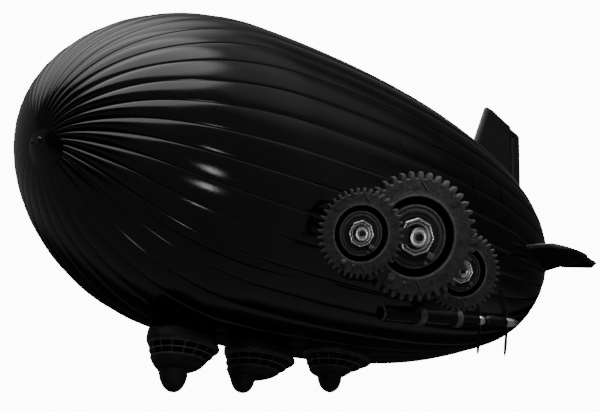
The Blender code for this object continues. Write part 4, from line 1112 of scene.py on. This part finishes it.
def cabin_wall(place):
    """Grid round the cabin; faces over a pane are left out, then the sheet gets its thickness."""
    top = cabin_top(place)
    shares = np.array([0.0, 0.06, 0.10, 0.14, 0.42, 0.46, 0.50, 0.54, 0.58, 0.86, 0.90, 0.95, 1.0])
    steps = np.array([0.0, 0.06, 0.30, 0.55, 0.76, 0.82])
    turn = ((np.arange(PANES)[:, None] + steps[None, :]) * 2.0 * np.pi / PANES).ravel()
    centre, length, width = cabin_plan(place, shares[:, None])
    points = np.stack([centre + length * np.cos(turn), width * np.sin(turn),
                       top - CABIN_DEPTH * shares[:, None] + 0.0 * turn], axis=-1)
    rows, columns = points.shape[:2]
    faces = grid_faces(rows, columns).reshape(rows - 1, columns, 4)
    middle = 0.5 * (shares[1:] + shares[:-1])
    glazed = np.zeros(rows - 1, bool)
    for low, high in WINDOW_ROWS:
        glazed |= (middle > low) & (middle < high)
    over_pane = np.arange(columns) % len(steps) < len(steps) - 1
    keep = ~(glazed[:, None] & over_pane[None, :])
    edge = np.where(np.isin(shares, np.ravel(WINDOW_ROWS)), 0.7, 0.1)
    wall = add_piece(f"{place}_cabin_wall", points.reshape(-1, 3), faces[keep], [], "hull",
                     FINISHES["cabin"], {"edge": np.broadcast_to(edge[:, None], (rows, columns))})
    thick = wall.modifiers.new("wall", "SOLIDIFY")
    thick.thickness = WALL
    thick.offset = -1.0
    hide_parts(f"{place}_gondola_cabin")


for place in GONDOLAS:
    cabin_wall(place)
print("cabins:", len(GONDOLAS), "with", 2 * PANES, "windows each")

# %% [markdown]
# Pale glazing bars run over, between and under the windows. Each one is a small round section
# carried along an ellipse, as a curve object with a bevel would be.

# %% Glazing bars
# columns: share of the cabin's depth, radius of the section, wear
BARS = {"upper": (0.05, 0.022, 0.2), "middle": (0.50, 0.026, 0.6), "lower": (0.95, 0.022, 0.2)}
BAR_PROUD = 0.01               # the middle of a bar lies this far outside the wall


def cabin_bars(place):
    """Bright bars over, between and under the two rows of panes: tubes along level ellipses."""
    top = cabin_top(place)
    turn = np.linspace(0.0, 2.0 * np.pi, 96, endpoint=False)[:, None]
    small = np.linspace(0.0, 2.0 * np.pi, 10, endpoint=False)[None, :]
    for label, (share, section, wear) in BARS.items():
        centre, length, width = cabin_plan(place, share)
        out = BAR_PROUD + section * np.cos(small)
        points = np.stack([centre + (length + out) * np.cos(turn), (width + out) * np.sin(turn),
                           top - CABIN_DEPTH * share + section * np.sin(small) + 0.0 * turn], axis=-1)
        add_loop(f"{place}_{label}_bar", points, "hull", FINISHES["bar"],
                 {"edge": np.full(points.shape[:2], wear)})


for place in GONDOLAS:
    cabin_bars(place)
print("glazing bars:", len(BARS) * len(GONDOLAS))

# %% [markdown]
# Dark glass stands just inside each wall, one thin ring per row of windows. Clear glass would let
# the light through and show an empty cabin, so it is tinted nearly black, and only a little light
# passes.

# %% Window glass
PANE_OUTER, PANE_INNER = 0.026, 0.034    # faces of the glass, inwards from the cabin's outline
PANE_LAP = 0.02                          # the glass reaches behind the wall by this share of its depth
GLASS_DARK, GLASS_DUSTY = (0.001, 0.001, 0.001, 1.0), (0.003, 0.003, 0.003, 1.0)


def tinted_glass():
    """Nearly opaque glass: little transmission, a weak gloss, and dust that dulls it."""
    made = bpy.data.materials.new("tinted_glass")
    made.use_nodes = True
    tree = made.node_tree
    shader = tree.nodes["Principled BSDF"]
    shader.inputs["Transmission Weight"].default_value = 0.05
    shader.inputs["Specular IOR Level"].default_value = 0.08
    shader.inputs["IOR"].default_value = 1.45
    place = add_node(tree, "ShaderNodeTexCoord").outputs["Object"]
    film = add_node(tree, "ShaderNodeGroup", node_tree=GROUPS["dust"])
    film.inputs["Scale"].default_value = 2.0
    tree.links.new(place, film.inputs["Vector"])
    colour = add_node(tree, "ShaderNodeMix", {"Factor": film.outputs["Mask"], "A": GLASS_DARK,
                                              "B": GLASS_DUSTY}, data_type="RGBA")
    tree.links.new(colour.outputs["Result"], shader.inputs["Base Color"])
    rough = add_node(tree, "ShaderNodeMapRange", {"Value": film.outputs["Mask"], "To Min": 0.06,
                                                  "To Max": 0.25})
    tree.links.new(rough.outputs[0], shader.inputs["Roughness"])
    return made


FINISHES["glass"] = tinted_glass()


def cabin_glass(place):
    """Two thin rings, one behind each row of windows."""
    top = cabin_top(place)
    turn = np.linspace(0.0, 2.0 * np.pi, 96, endpoint=False)
    for number, (low, high) in enumerate(WINDOW_ROWS):
        shares = np.array([low - PANE_LAP, high + PANE_LAP])[:, None]
        centre, length, width = cabin_plan(place, shares)
        rings = [np.stack([centre + (length - inward) * np.cos(turn), (width - inward) * np.sin(turn),
                           top - CABIN_DEPTH * shares + 0.0 * turn], axis=-1)
                 for inward in (PANE_OUTER, PANE_INNER)]
        add_loop(f"{place}_glass_{number}", np.concatenate([rings[0], rings[1][::-1]]), "hull",
                 FINISHES["glass"])


for place in GONDOLAS:
    cabin_glass(place)
print("rings of glass:", len(WINDOW_ROWS) * len(GONDOLAS))

# %% [markdown]
# Bowl and lobe are one skin. The plan runs from the cabin's foot towards the lobe's, first
# slowly and then fast, which leaves a pinched neck on the side that the lobe is shifted from. Two
# merged spheres would need sculpting to get that neck. Painted shade makes it darker.

# %% Bellies and lobes
# columns: share of the bowl's depth, share of the way from the foot's plan to the lobe's
BOWL_KNOTS = ((0.00, 0.00), (0.10, 0.03), (0.45, 0.22), (0.80, 0.55), (0.97, 0.82), (1.00, 0.86))
# columns: share of the lobe's depth, share of its plan
LOBE_KNOTS = ((0.01, 1.13), (0.08, 1.07), (0.24, 1.02), (0.42, 0.95), (0.58, 0.86), (0.72, 0.74),
              (0.86, 0.55), (0.95, 0.34), (0.99, 0.14), (1.00, 0.02))


def ellipse_rows(rows, centre_x, sides=96):
    """Stacked ellipses: each row is (height, half length, half width, shift)."""
    rows = np.asarray(rows, float)
    turn = np.linspace(0.0, 2.0 * np.pi, sides, endpoint=False)
    return np.stack([centre_x + rows[:, 3:4] + rows[:, 1:2] * np.cos(turn), rows[:, 2:3] * np.sin(turn),
                     rows[:, :1] + 0.0 * turn], axis=-1)


def belly(place):
    """Stacked ellipses down the bowl and on down the lobe."""
    x, _, length, width, bowl, lobe, shift, lobe_length, lobe_width = GONDOLAS[place]
    top = float(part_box(f"{place}_gondola_belly")[1][2])
    upper = smooth_curve(BOWL_KNOTS, 26)
    lower = smooth_curve(LOBE_KNOTS, 36)
    rows = [(top - bowl * share, length + (lobe_length - length) * blend,
             width + (lobe_width - width) * blend, shift * blend) for share, blend in upper]
    rows += [(top - bowl - lobe * share, lobe_length * size, lobe_width * size, shift)
             for share, size in lower]
    points = ellipse_rows(rows, x)
    edge = np.zeros(points.shape[:2])
    edge[:2] = 0.7
    # painted shade in a ring round the pinch between bowl and lobe
    painted_shade = np.zeros(points.shape[:2])
    painted_shade[len(upper) - 2:len(upper) + 2] = 0.5
    piece = add_solid(f"{place}_belly_bowl", points, "hull", FINISHES["belly"],
                      {"edge": edge, "painted_shade": painted_shade}, smooth=70.0)
    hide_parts(f"{place}_gondola_belly")


for place in GONDOLAS:
    belly(place)
print("bellies:", len(GONDOLAS))

# %% [markdown]
# ## Tail surfaces
#
# Each fin is a plate whose thickness at a point follows its distance to the outline: nothing on
# the leading edge and the tip, then a rounded rise up to the full thickness. The trailing edge
# stays blunt, so that little light shows between it and the flap. A box with a Bevel modifier
# would come close, but its rounding would be the same on every edge. A pale strip along the
# leading edge is a painted highlight.

# %% Shape of a fin
FIN_THICK = 0.34
BLUNT = 0.45                   # share of the bevel that the trailing edge keeps
# this strip is painted pale as a highlight along the leading edge
FRONT_STRIP = 0.30             # worn strip behind the leading edge
# columns along the span: span, leading edge, trailing edge
TOP_FIN_SPAN = ((2.8, -14.70, -18.15), (4.6, -13.80, -18.15), (5.5, -14.32, -18.15),
                (8.76, -15.742, -18.15), (9.42, -16.03, -16.585), (9.54, -16.28, -16.32))
SIDE_FIN_SPAN = ((3.0, -12.00, -16.45), (4.4, -12.00, -16.45), (6.55, -12.85, -16.45),
                 (7.02, -13.23, -16.45), (7.05, -13.25, -16.33), (7.42, -14.78, -14.82))


def fin_surface(spans, bevel, round_power=2.0, rows=56, columns=64):
    """Chords stacked along the span: half thickness = T / 2 (1 - (1 - d)^p)^(1/p), d the distance
    to the edge as a share of the bevel and p the power. The second result is the pale strip along
    the leading edge, a painted highlight."""
    spans = np.asarray(spans, float)
    low, high = spans[0, 0], spans[-1, 0]
    share = np.linspace(0.0, 1.0, rows)
    span = np.unique(np.concatenate([low + (high - low) * (1.0 - (1.0 - share) ** 2), spans[:, 0]]))
    lead = np.interp(span, spans[:, 0], spans[:, 1])[:, None]
    trail = np.interp(span, spans[:, 0], spans[:, 2])[:, None]
    turn = np.linspace(0.0, 2.0 * np.pi, columns, endpoint=False)[None, :]
    along = 0.5 * (1.0 - np.cos(turn))
    x = lead + (trail - lead) * along
    inside = np.minimum(lead - x, x - trail + BLUNT * bevel)
    inside = np.clip(np.minimum(inside, high - span[:, None]) / bevel, 0.0, 1.0)
    half = 0.5 * FIN_THICK * (1.0 - (1.0 - inside) ** round_power) ** (1.0 / round_power)
    points = np.stack([x, span[:, None] + 0.0 * turn, np.sign(np.sin(turn)) * half], axis=-1)
    # the pale strip behind the leading edge is a painted highlight
    return points, np.clip(1.0 - (lead - x) / FRONT_STRIP, 0.0, 1.0)


print("points of a fin's skin:", fin_surface(TOP_FIN_SPAN, FRONT_STRIP)[0].shape[:2])

# %% [markdown]
# Lugs at a fin's trailing edge carry the rudder or elevator on short pins. The moving flaps stay
# the solids they are, because their notches and bores are already cut.

# %% Fins with lugs and pins
# columns: distance of the hinge line along the hull, and where its two lugs sit along the span
TOP_LUGS = (-18.32, 3.6, 8.3)
SIDE_LUGS = (-16.62, 5.40, 6.50)
LUG_DEEP, LUG_THICK = 0.22, 0.12         # across the fin, along the hinge line
LUG_END = 0.06                           # a lug passes the hinge line by this much
LUG_ROOT = 0.12                          # and starts this far inside the fin
PIN_PROFILE = ((0.03, -0.25), (0.045, -0.235), (0.045, 0.235), (0.03, 0.25))
# columns: width of the rounded edge, power of its curve
TOP_EDGE, SIDE_EDGE = (0.30, 1.2), (0.60, 1.6)
SIDE_FIN_HEIGHT = -1.0
UPRIGHT = Matrix(((1, 0, 0, 0), (0, 0, -1, 0), (0, 1, 0, 0), (0, 0, 0, 1)))


def flat_frame(sign):
    """Lay a fin flat at the side fins' height; for starboard it is rolled over by half a turn."""
    return Matrix.Translation((0.0, 0.0, SIDE_FIN_HEIGHT)) @ Matrix.Diagonal((1.0, sign, sign, 1.0))


def fin(name, spans, bevel, power, lugs, place):
    """A fin's skin with its two lugs and pins, all on the hull."""
    points, edge = fin_surface(spans, bevel, power)
    skin = add_solid(name + "_skin", placed(points, place), "hull", FINISHES["fin"],
                     {"edge": edge}, smooth=50.0)
    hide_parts(name)
    hinge_x, *heights = lugs
    back = spans[1][2] + LUG_ROOT
    for label, at in zip(("low", "high"), heights):
        lug = superblock((back - hinge_x + LUG_END, LUG_DEEP, LUG_THICK), 8.0)
        middle = Matrix.Translation((0.5 * (back + hinge_x - LUG_END), at, 0.0))
        add_solid(f"{name}_{label}_lug", placed(lug, place @ middle), "hull", FINISHES["fin"])
        pin = lathe(PIN_PROFILE, 24)
        stand = Matrix.Translation((hinge_x, at, 0.0)) @ Matrix.Rotation(-math.pi / 2, 4, "X")
        add_solid(f"{name}_{label}_pin", placed(pin, place @ stand), "hull", FINISHES["fin"])


fin("top_fin", TOP_FIN_SPAN, *TOP_EDGE, TOP_LUGS, UPRIGHT)
for side, sign in SIDES:
    fin(f"{side}_fin", SIDE_FIN_SPAN, *SIDE_EDGE, SIDE_LUGS, flat_frame(sign))
print("fins:", 1 + len(SIDES))

# %% [markdown]
# ## Engines
#
# Both pods of a side lie on one axis. They are turned shapes, and the front one has two raised
# bands, each behind a swelling. Such a profile could be drawn as a curve with a Screw modifier.
# As a table it can carry the wear of each ring as well.

# %% Profiles of pods and hubs
POD_START = (-0.75, 6.49, -7.42)
POD_DIRECTION = (-0.985, 0.119, 0.122)
FRONT_PROP_AT, REAR_PROP_AT = 6.75, 8.62
# columns: radius, distance, edge
FRONT_POD = ((0.15, 0.00, 0.0), (0.33, 0.00, 0.0), (0.385, 0.01, 0.9), (0.405, 0.06, 0.9), (0.415, 0.10, 0.0),
             (0.43, 1.20, 0.0), (0.435, 1.70, 0.0), (0.47, 1.95, 0.0), (0.475, 2.12, 0.0), (0.44, 2.28, 0.0),
             (0.43, 2.33, 0.0), (0.475, 2.35, 0.9), (0.483, 2.40, 1.0), (0.483, 2.74, 1.0),
             (0.475, 2.80, 0.9), (0.435, 2.84, 0.0), (0.43, 3.40, 0.0), (0.425, 4.30, 0.0),
             (0.455, 4.50, 0.0), (0.455, 4.66, 0.0), (0.425, 4.80, 0.0), (0.42, 4.85, 0.0),
             (0.455, 4.87, 0.9), (0.463, 4.92, 1.0), (0.463, 5.20, 1.0), (0.455, 5.26, 0.9),
             (0.33, 5.32, 0.0), (0.31, 5.40, 0.0), (0.28, 6.30, 0.0), (0.24, 6.54, 0.0))
REAR_POD = ((0.20, 7.02, 0.0), (0.28, 7.12, 0.0), (0.32, 7.28, 0.0), (0.34, 7.60, 0.0), (0.33, 7.95, 0.0),
            (0.27, 8.28, 0.0), (0.22, 8.43, 0.0))
SPINDLE_TUBE = ((0.12, 6.20, 0.0), (0.12, REAR_PROP_AT + 0.1, 0.0))
FRONT_HUB = ((0.130, -0.15, 0.0), (0.23, -0.15, 0.3), (0.26, -0.10, 0.6), (0.26, 0.10, 0.6),
             (0.23, 0.18, 0.3), (0.130, 0.20, 0.0))
REAR_HUB = ((0.130, -0.15, 0.0), (0.24, -0.15, 0.3), (0.26, -0.08, 0.6), (0.26, 0.20, 0.6), (0.24, 0.35, 0.0),
            (0.17, 0.60, 0.0), (0.07, 0.83, 0.0))


def pod_frame(sign):
    """Z runs aft along the pods' axis, X is as near upright as it can be."""
    along = Vector((POD_DIRECTION[0], sign * POD_DIRECTION[1], POD_DIRECTION[2])).normalized()
    up = Vector((0.0, 0.0, 1.0))
    up = (up - along * up.dot(along)).normalized()
    turned = Matrix((up, along.cross(up), along)).transposed().to_4x4()
    turned.translation = Vector((POD_START[0], sign * POD_START[1], POD_START[2]))
    return side_turn(sign) @ turned


def turned_piece(name, knots, place, body, material, sides=64):
    """Solid of revolution through knots of (radius, distance, edge)."""
    knots = np.asarray(knots)
    points = placed(lathe(knots[:, :2], sides), place)
    edge = np.broadcast_to(knots[:, 2:], points.shape[:2])
    return add_solid(name, points, body, material, {"edge": edge}, smooth=32.0)


print("length of the front pod:", FRONT_POD[-1][1], "m, of the rear one:",
      round(REAR_POD[-1][1] - REAR_POD[0][1], 2), "m")

# %% [markdown]
# The blades are twisted lenses. Their pitch falls from the hub to the tip, because the tip moves
# faster through the air, and they lean forward a little. A flat blade could be twisted with a
# Simple Deform modifier. A table of sections gives chord, thickness and pitch at once.

# %% Propellers
# columns: distance from the shaft, half chord, half thickness, pitch in degrees
BLADE_KNOTS = ((0.10, 0.09, 0.050, 26.0), (0.55, 0.17, 0.035, 19.0), (1.15, 0.18, 0.025, 13.0),
               (1.65, 0.13, 0.015, 9.0), (1.80, 0.03, 0.010, 8.0))
BLADE_CONE = 0.18                        # slope by which the blades lean forward
PARKED = {"port": 4.0, "starboard": 50.0}        # degrees that the blades stand turned from upright


def blade_surface(rows=36, columns=24):
    """Lens sections whose chord, thickness and pitch follow the distance from the shaft."""
    knots = np.array(BLADE_KNOTS)
    reach = knots[0, 0] + (knots[-1, 0] - knots[0, 0]) * np.linspace(0.0, 1.0, rows) ** 0.9
    chord, thick, pitch = (np.interp(reach, knots[:, 0], knots[:, k])[:, None] for k in (1, 2, 3))
    turn = np.linspace(0.0, 2.0 * np.pi, columns, endpoint=False)[None, :]
    u, v = chord * np.cos(turn), thick * np.sin(turn)
    lean = np.radians(pitch)
    return np.stack([reach[:, None] + 0.0 * turn, u * np.cos(lean) - v * np.sin(lean),
                     u * np.sin(lean) + v * np.cos(lean) - BLADE_CONE * reach[:, None]], axis=-1)


def propeller(side, place, frame_at, profile):
    """Hub with two blades; all of it turns with its own body."""
    body = f"{side}_{place}_propeller"
    hub = turned_piece(body + "_hub", profile, frame_at, body, FINISHES["steel"], 40)
    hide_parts(body)
    for number, start in enumerate((PARKED[side], PARKED[side] + 180.0)):
        points = placed(blade_surface(), frame_at @ Matrix.Rotation(math.radians(start), 4, "Z"))
        add_solid(f"{body}_blade_{number}", points, body, FINISHES["blade"])


print("a propeller sweeps a circle of", 2 * BLADE_KNOTS[-1][0], "m")

# %% [markdown]
# Now everything comes together on each side: the front cowl, the spindle tube behind it, the rear
# cowl, and the two propellers. A thin ledge runs along the front pod's lower flank in two
# stretches. The starboard side uses the same profiles with its own frame of axes.

# %% Engines on both sides
LEDGES = ((0.15, 1.80), (2.90, 4.40))    # distances along the axis where each stretch starts and ends
LEDGE_ANGLE = 152.0
LEDGE_HIGH, LEDGE_WIDE, LEDGE_OUT = 0.05, 0.06, 0.435

for side, sign in SIDES:
    along = pod_frame(sign)
    pod = turned_piece(f"{side}_front_cowl", FRONT_POD, along, "hull", FINISHES["pod"])
    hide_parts(f"{side}_front_pod")
    turned_piece(f"{side}_spindle_tube", SPINDLE_TUBE, along, "hull", FINISHES["pod"], 32)
    pod = turned_piece(f"{side}_rear_cowl", REAR_POD, along, "hull", FINISHES["pod"])
    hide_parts(f"{side}_rear_pod")
    propeller(side, "front", along @ Matrix.Translation((0, 0, FRONT_PROP_AT)), FRONT_HUB)
    propeller(side, "rear", along @ Matrix.Translation((0, 0, REAR_PROP_AT)), REAR_HUB)
    for number, (start, stop) in enumerate(LEDGES):
        bar = superblock((LEDGE_HIGH, LEDGE_WIDE, stop - start), 8.0)
        spot = (Matrix.Rotation(math.radians(sign * LEDGE_ANGLE), 4, "Z")
                @ Matrix.Translation((LEDGE_OUT, 0.0, 0.5 * (start + stop))))
        add_solid(f"{side}_ledge_{number}", placed(bar, along @ spot), "hull", FINISHES["pod"],
                  {"edge": np.full(bar.shape[:2], 0.8)})
print("propellers:", 2 * len(SIDES))

# %% [markdown]
# ## Solids that stay as they are
#
# The tail cap, flaps, posts, arms and stub wings already have the right shape, and making them
# again would gain nothing. They only change their material.

# %% Materials for the solids that stay
KEPT = {"tail_cap": "cap", "rudder": "fin"}
for side, _ in SIDES:
    KEPT.update({f"{side}_elevator": "fin", f"{side}_gear_mount": "pod", f"{side}_gear_arm": "pod",
                 f"{side}_engine_wing": "pod"})
for name, finish_name in KEPT.items():
    node = nodes[name]
    node.data.materials.clear()
    node.data.materials.append(FINISHES[finish_name])
print("solids with a new finish:", len(KEPT))

# %% [markdown]
# ## Floor, background and light
#
# A glossy black thing shows its surroundings rather than its own colour, so most of the light is
# a dim sky with soft patches. Each patch is at its full value round one direction and fades out
# by the angle from it. The patches overhead stand for the soft boxes of a studio and make the
# shine on the upper gores. A small bright one, low on the port side, draws the fine streaks on
# the flank and the glint on the wheel nuts. Three patches take light away, so the bow, the keel
# and the stern turn dark. The camera sees a plain white background instead.
#
# First comes the floor, a wide pale disc just under the camera. It is hidden from the reflections,
# because they would show it as a bright band along the keel.

# %% Floor
FLOOR_RADIUS, FLOOR_SIDES, FLOOR_BELOW = 400.0, 64, 0.05
floor_z = camera_place.z - FLOOR_BELOW
angle = np.linspace(0.0, 2.0 * np.pi, FLOOR_SIDES, endpoint=False)
floor_points = np.stack([FLOOR_RADIUS * np.cos(angle), FLOOR_RADIUS * np.sin(angle),
                         np.full(FLOOR_SIDES, floor_z)], axis=-1)
floor_mesh = bpy.data.meshes.new("floor")
floor_mesh.from_pydata(floor_points.tolist(), [], [list(range(FLOOR_SIDES))])
floor_material = bpy.data.materials.new("pale_floor")
floor_material.use_nodes = True
paint = floor_material.node_tree.nodes["Principled BSDF"].inputs
paint["Base Color"].default_value = (0.9, 0.9, 0.9, 1.0)
paint["Roughness"].default_value = 0.9
floor_mesh.materials.append(floor_material)
floor = bpy.data.objects.new("floor", floor_mesh)
floor.visible_diffuse = False
floor.visible_glossy = False
bpy.context.scene.collection.objects.link(floor)
print("floor at", round(floor_z, 2))

# %% [markdown]
# The sky is a world shader. For each patch the dot product of the view direction and the patch's
# own direction is the cosine of the angle between them, and a smooth ramp turns it into light.
# Where two dark patches overlap, the sum is kept from falling below zero. Area lamps would do as
# well, but they show up in the gloss with hard edges.

# %% Sky
# columns: azimuth from the nose towards port and elevation of the patch's middle in degrees,
# angle from the middle where it starts to fade and where it ends, brightness that it adds
SKY = {
    "main_box": (35.0, 62.0, 27.0, 36.0, 2.3),
    "starboard_box": (-75.0, 68.0, 14.0, 38.0, 1.3),
    "port_quarter": (122.0, 54.0, 12.0, 38.0, 0.28),
    "small_lamp": (76.0, -26.0, 3.0, 6.0, 8.0),
    "dark_bow": (5.0, 0.0, 22.0, 38.0, -0.12),
    "dark_keel": (-132.0, -20.0, 30.0, 40.0, -0.12),
    "dark_stern": (175.0, 20.0, 24.0, 44.0, -0.10),
}
SKY_FLOOR, BACKDROP = 0.13, 12.0

world = bpy.data.worlds.new("studio")
world.use_nodes = True
bpy.context.scene.world = world
tree = world.node_tree
background = tree.nodes["Background"]
direction = add_node(tree, "ShaderNodeTexCoord").outputs["Generated"]
light = SKY_FLOOR
for azimuth, elevation, full, gone, bright in SKY.values():
    azimuth, elevation = math.radians(azimuth), math.radians(elevation)
    level = math.cos(elevation)
    middle = (level * math.cos(azimuth), level * math.sin(azimuth), math.sin(elevation))
    facing = add_node(tree, "ShaderNodeVectorMath", {0: direction, 1: middle}, operation="DOT_PRODUCT")
    patch = add_node(tree, "ShaderNodeMapRange",
                     {"Value": facing.outputs["Value"], "From Min": math.cos(math.radians(gone)),
                      "From Max": math.cos(math.radians(full)), "To Max": bright},
                     interpolation_type="SMOOTHSTEP")
    light = add_node(tree, "ShaderNodeMath", {0: patch.outputs[0], 1: light}, operation="ADD").outputs[0]
light = add_node(tree, "ShaderNodeMath", {0: light, 1: 0.0}, operation="MAXIMUM").outputs[0]
seen = add_node(tree, "ShaderNodeLightPath").outputs["Is Camera Ray"]
strength = add_node(tree, "ShaderNodeMix", {"Factor": seen, "A": light, "B": BACKDROP})
tree.links.new(strength.outputs["Result"], background.inputs["Strength"])
background.inputs["Color"].default_value = (1.0, 1.0, 1.0, 1.0)
print("patches of sky:", len(SKY))

# %% [markdown]
# The dull castings of the wheels reflect too little of the sky to be seen. One area lamp shines
# on the port ones, and it is kept out of the gloss, where it would show as a white square.

# %% Lamp for the wheels
def soft_box(name, place, target, size, watts):
    """Area lamp that faces a target and doesn't show in reflections."""
    data = bpy.data.lights.new(name, "AREA")
    data.shape = "RECTANGLE"
    data.size, data.size_y = size
    data.energy = watts
    lamp = bpy.data.objects.new(name, data)
    lamp.visible_glossy = False
    aim = (Vector(place) - Vector(target)).to_track_quat("Z", "Y")
    lamp.matrix_world = Matrix.Translation(place) @ aim.to_matrix().to_4x4()
    bpy.context.scene.collection.objects.link(lamp)


soft_box("wheel_light", (2.28, 15.12, 2.52), GEAR_CENTRE, (2.0, 2.0), 330.0)
print("lamps:", len(bpy.data.lights))
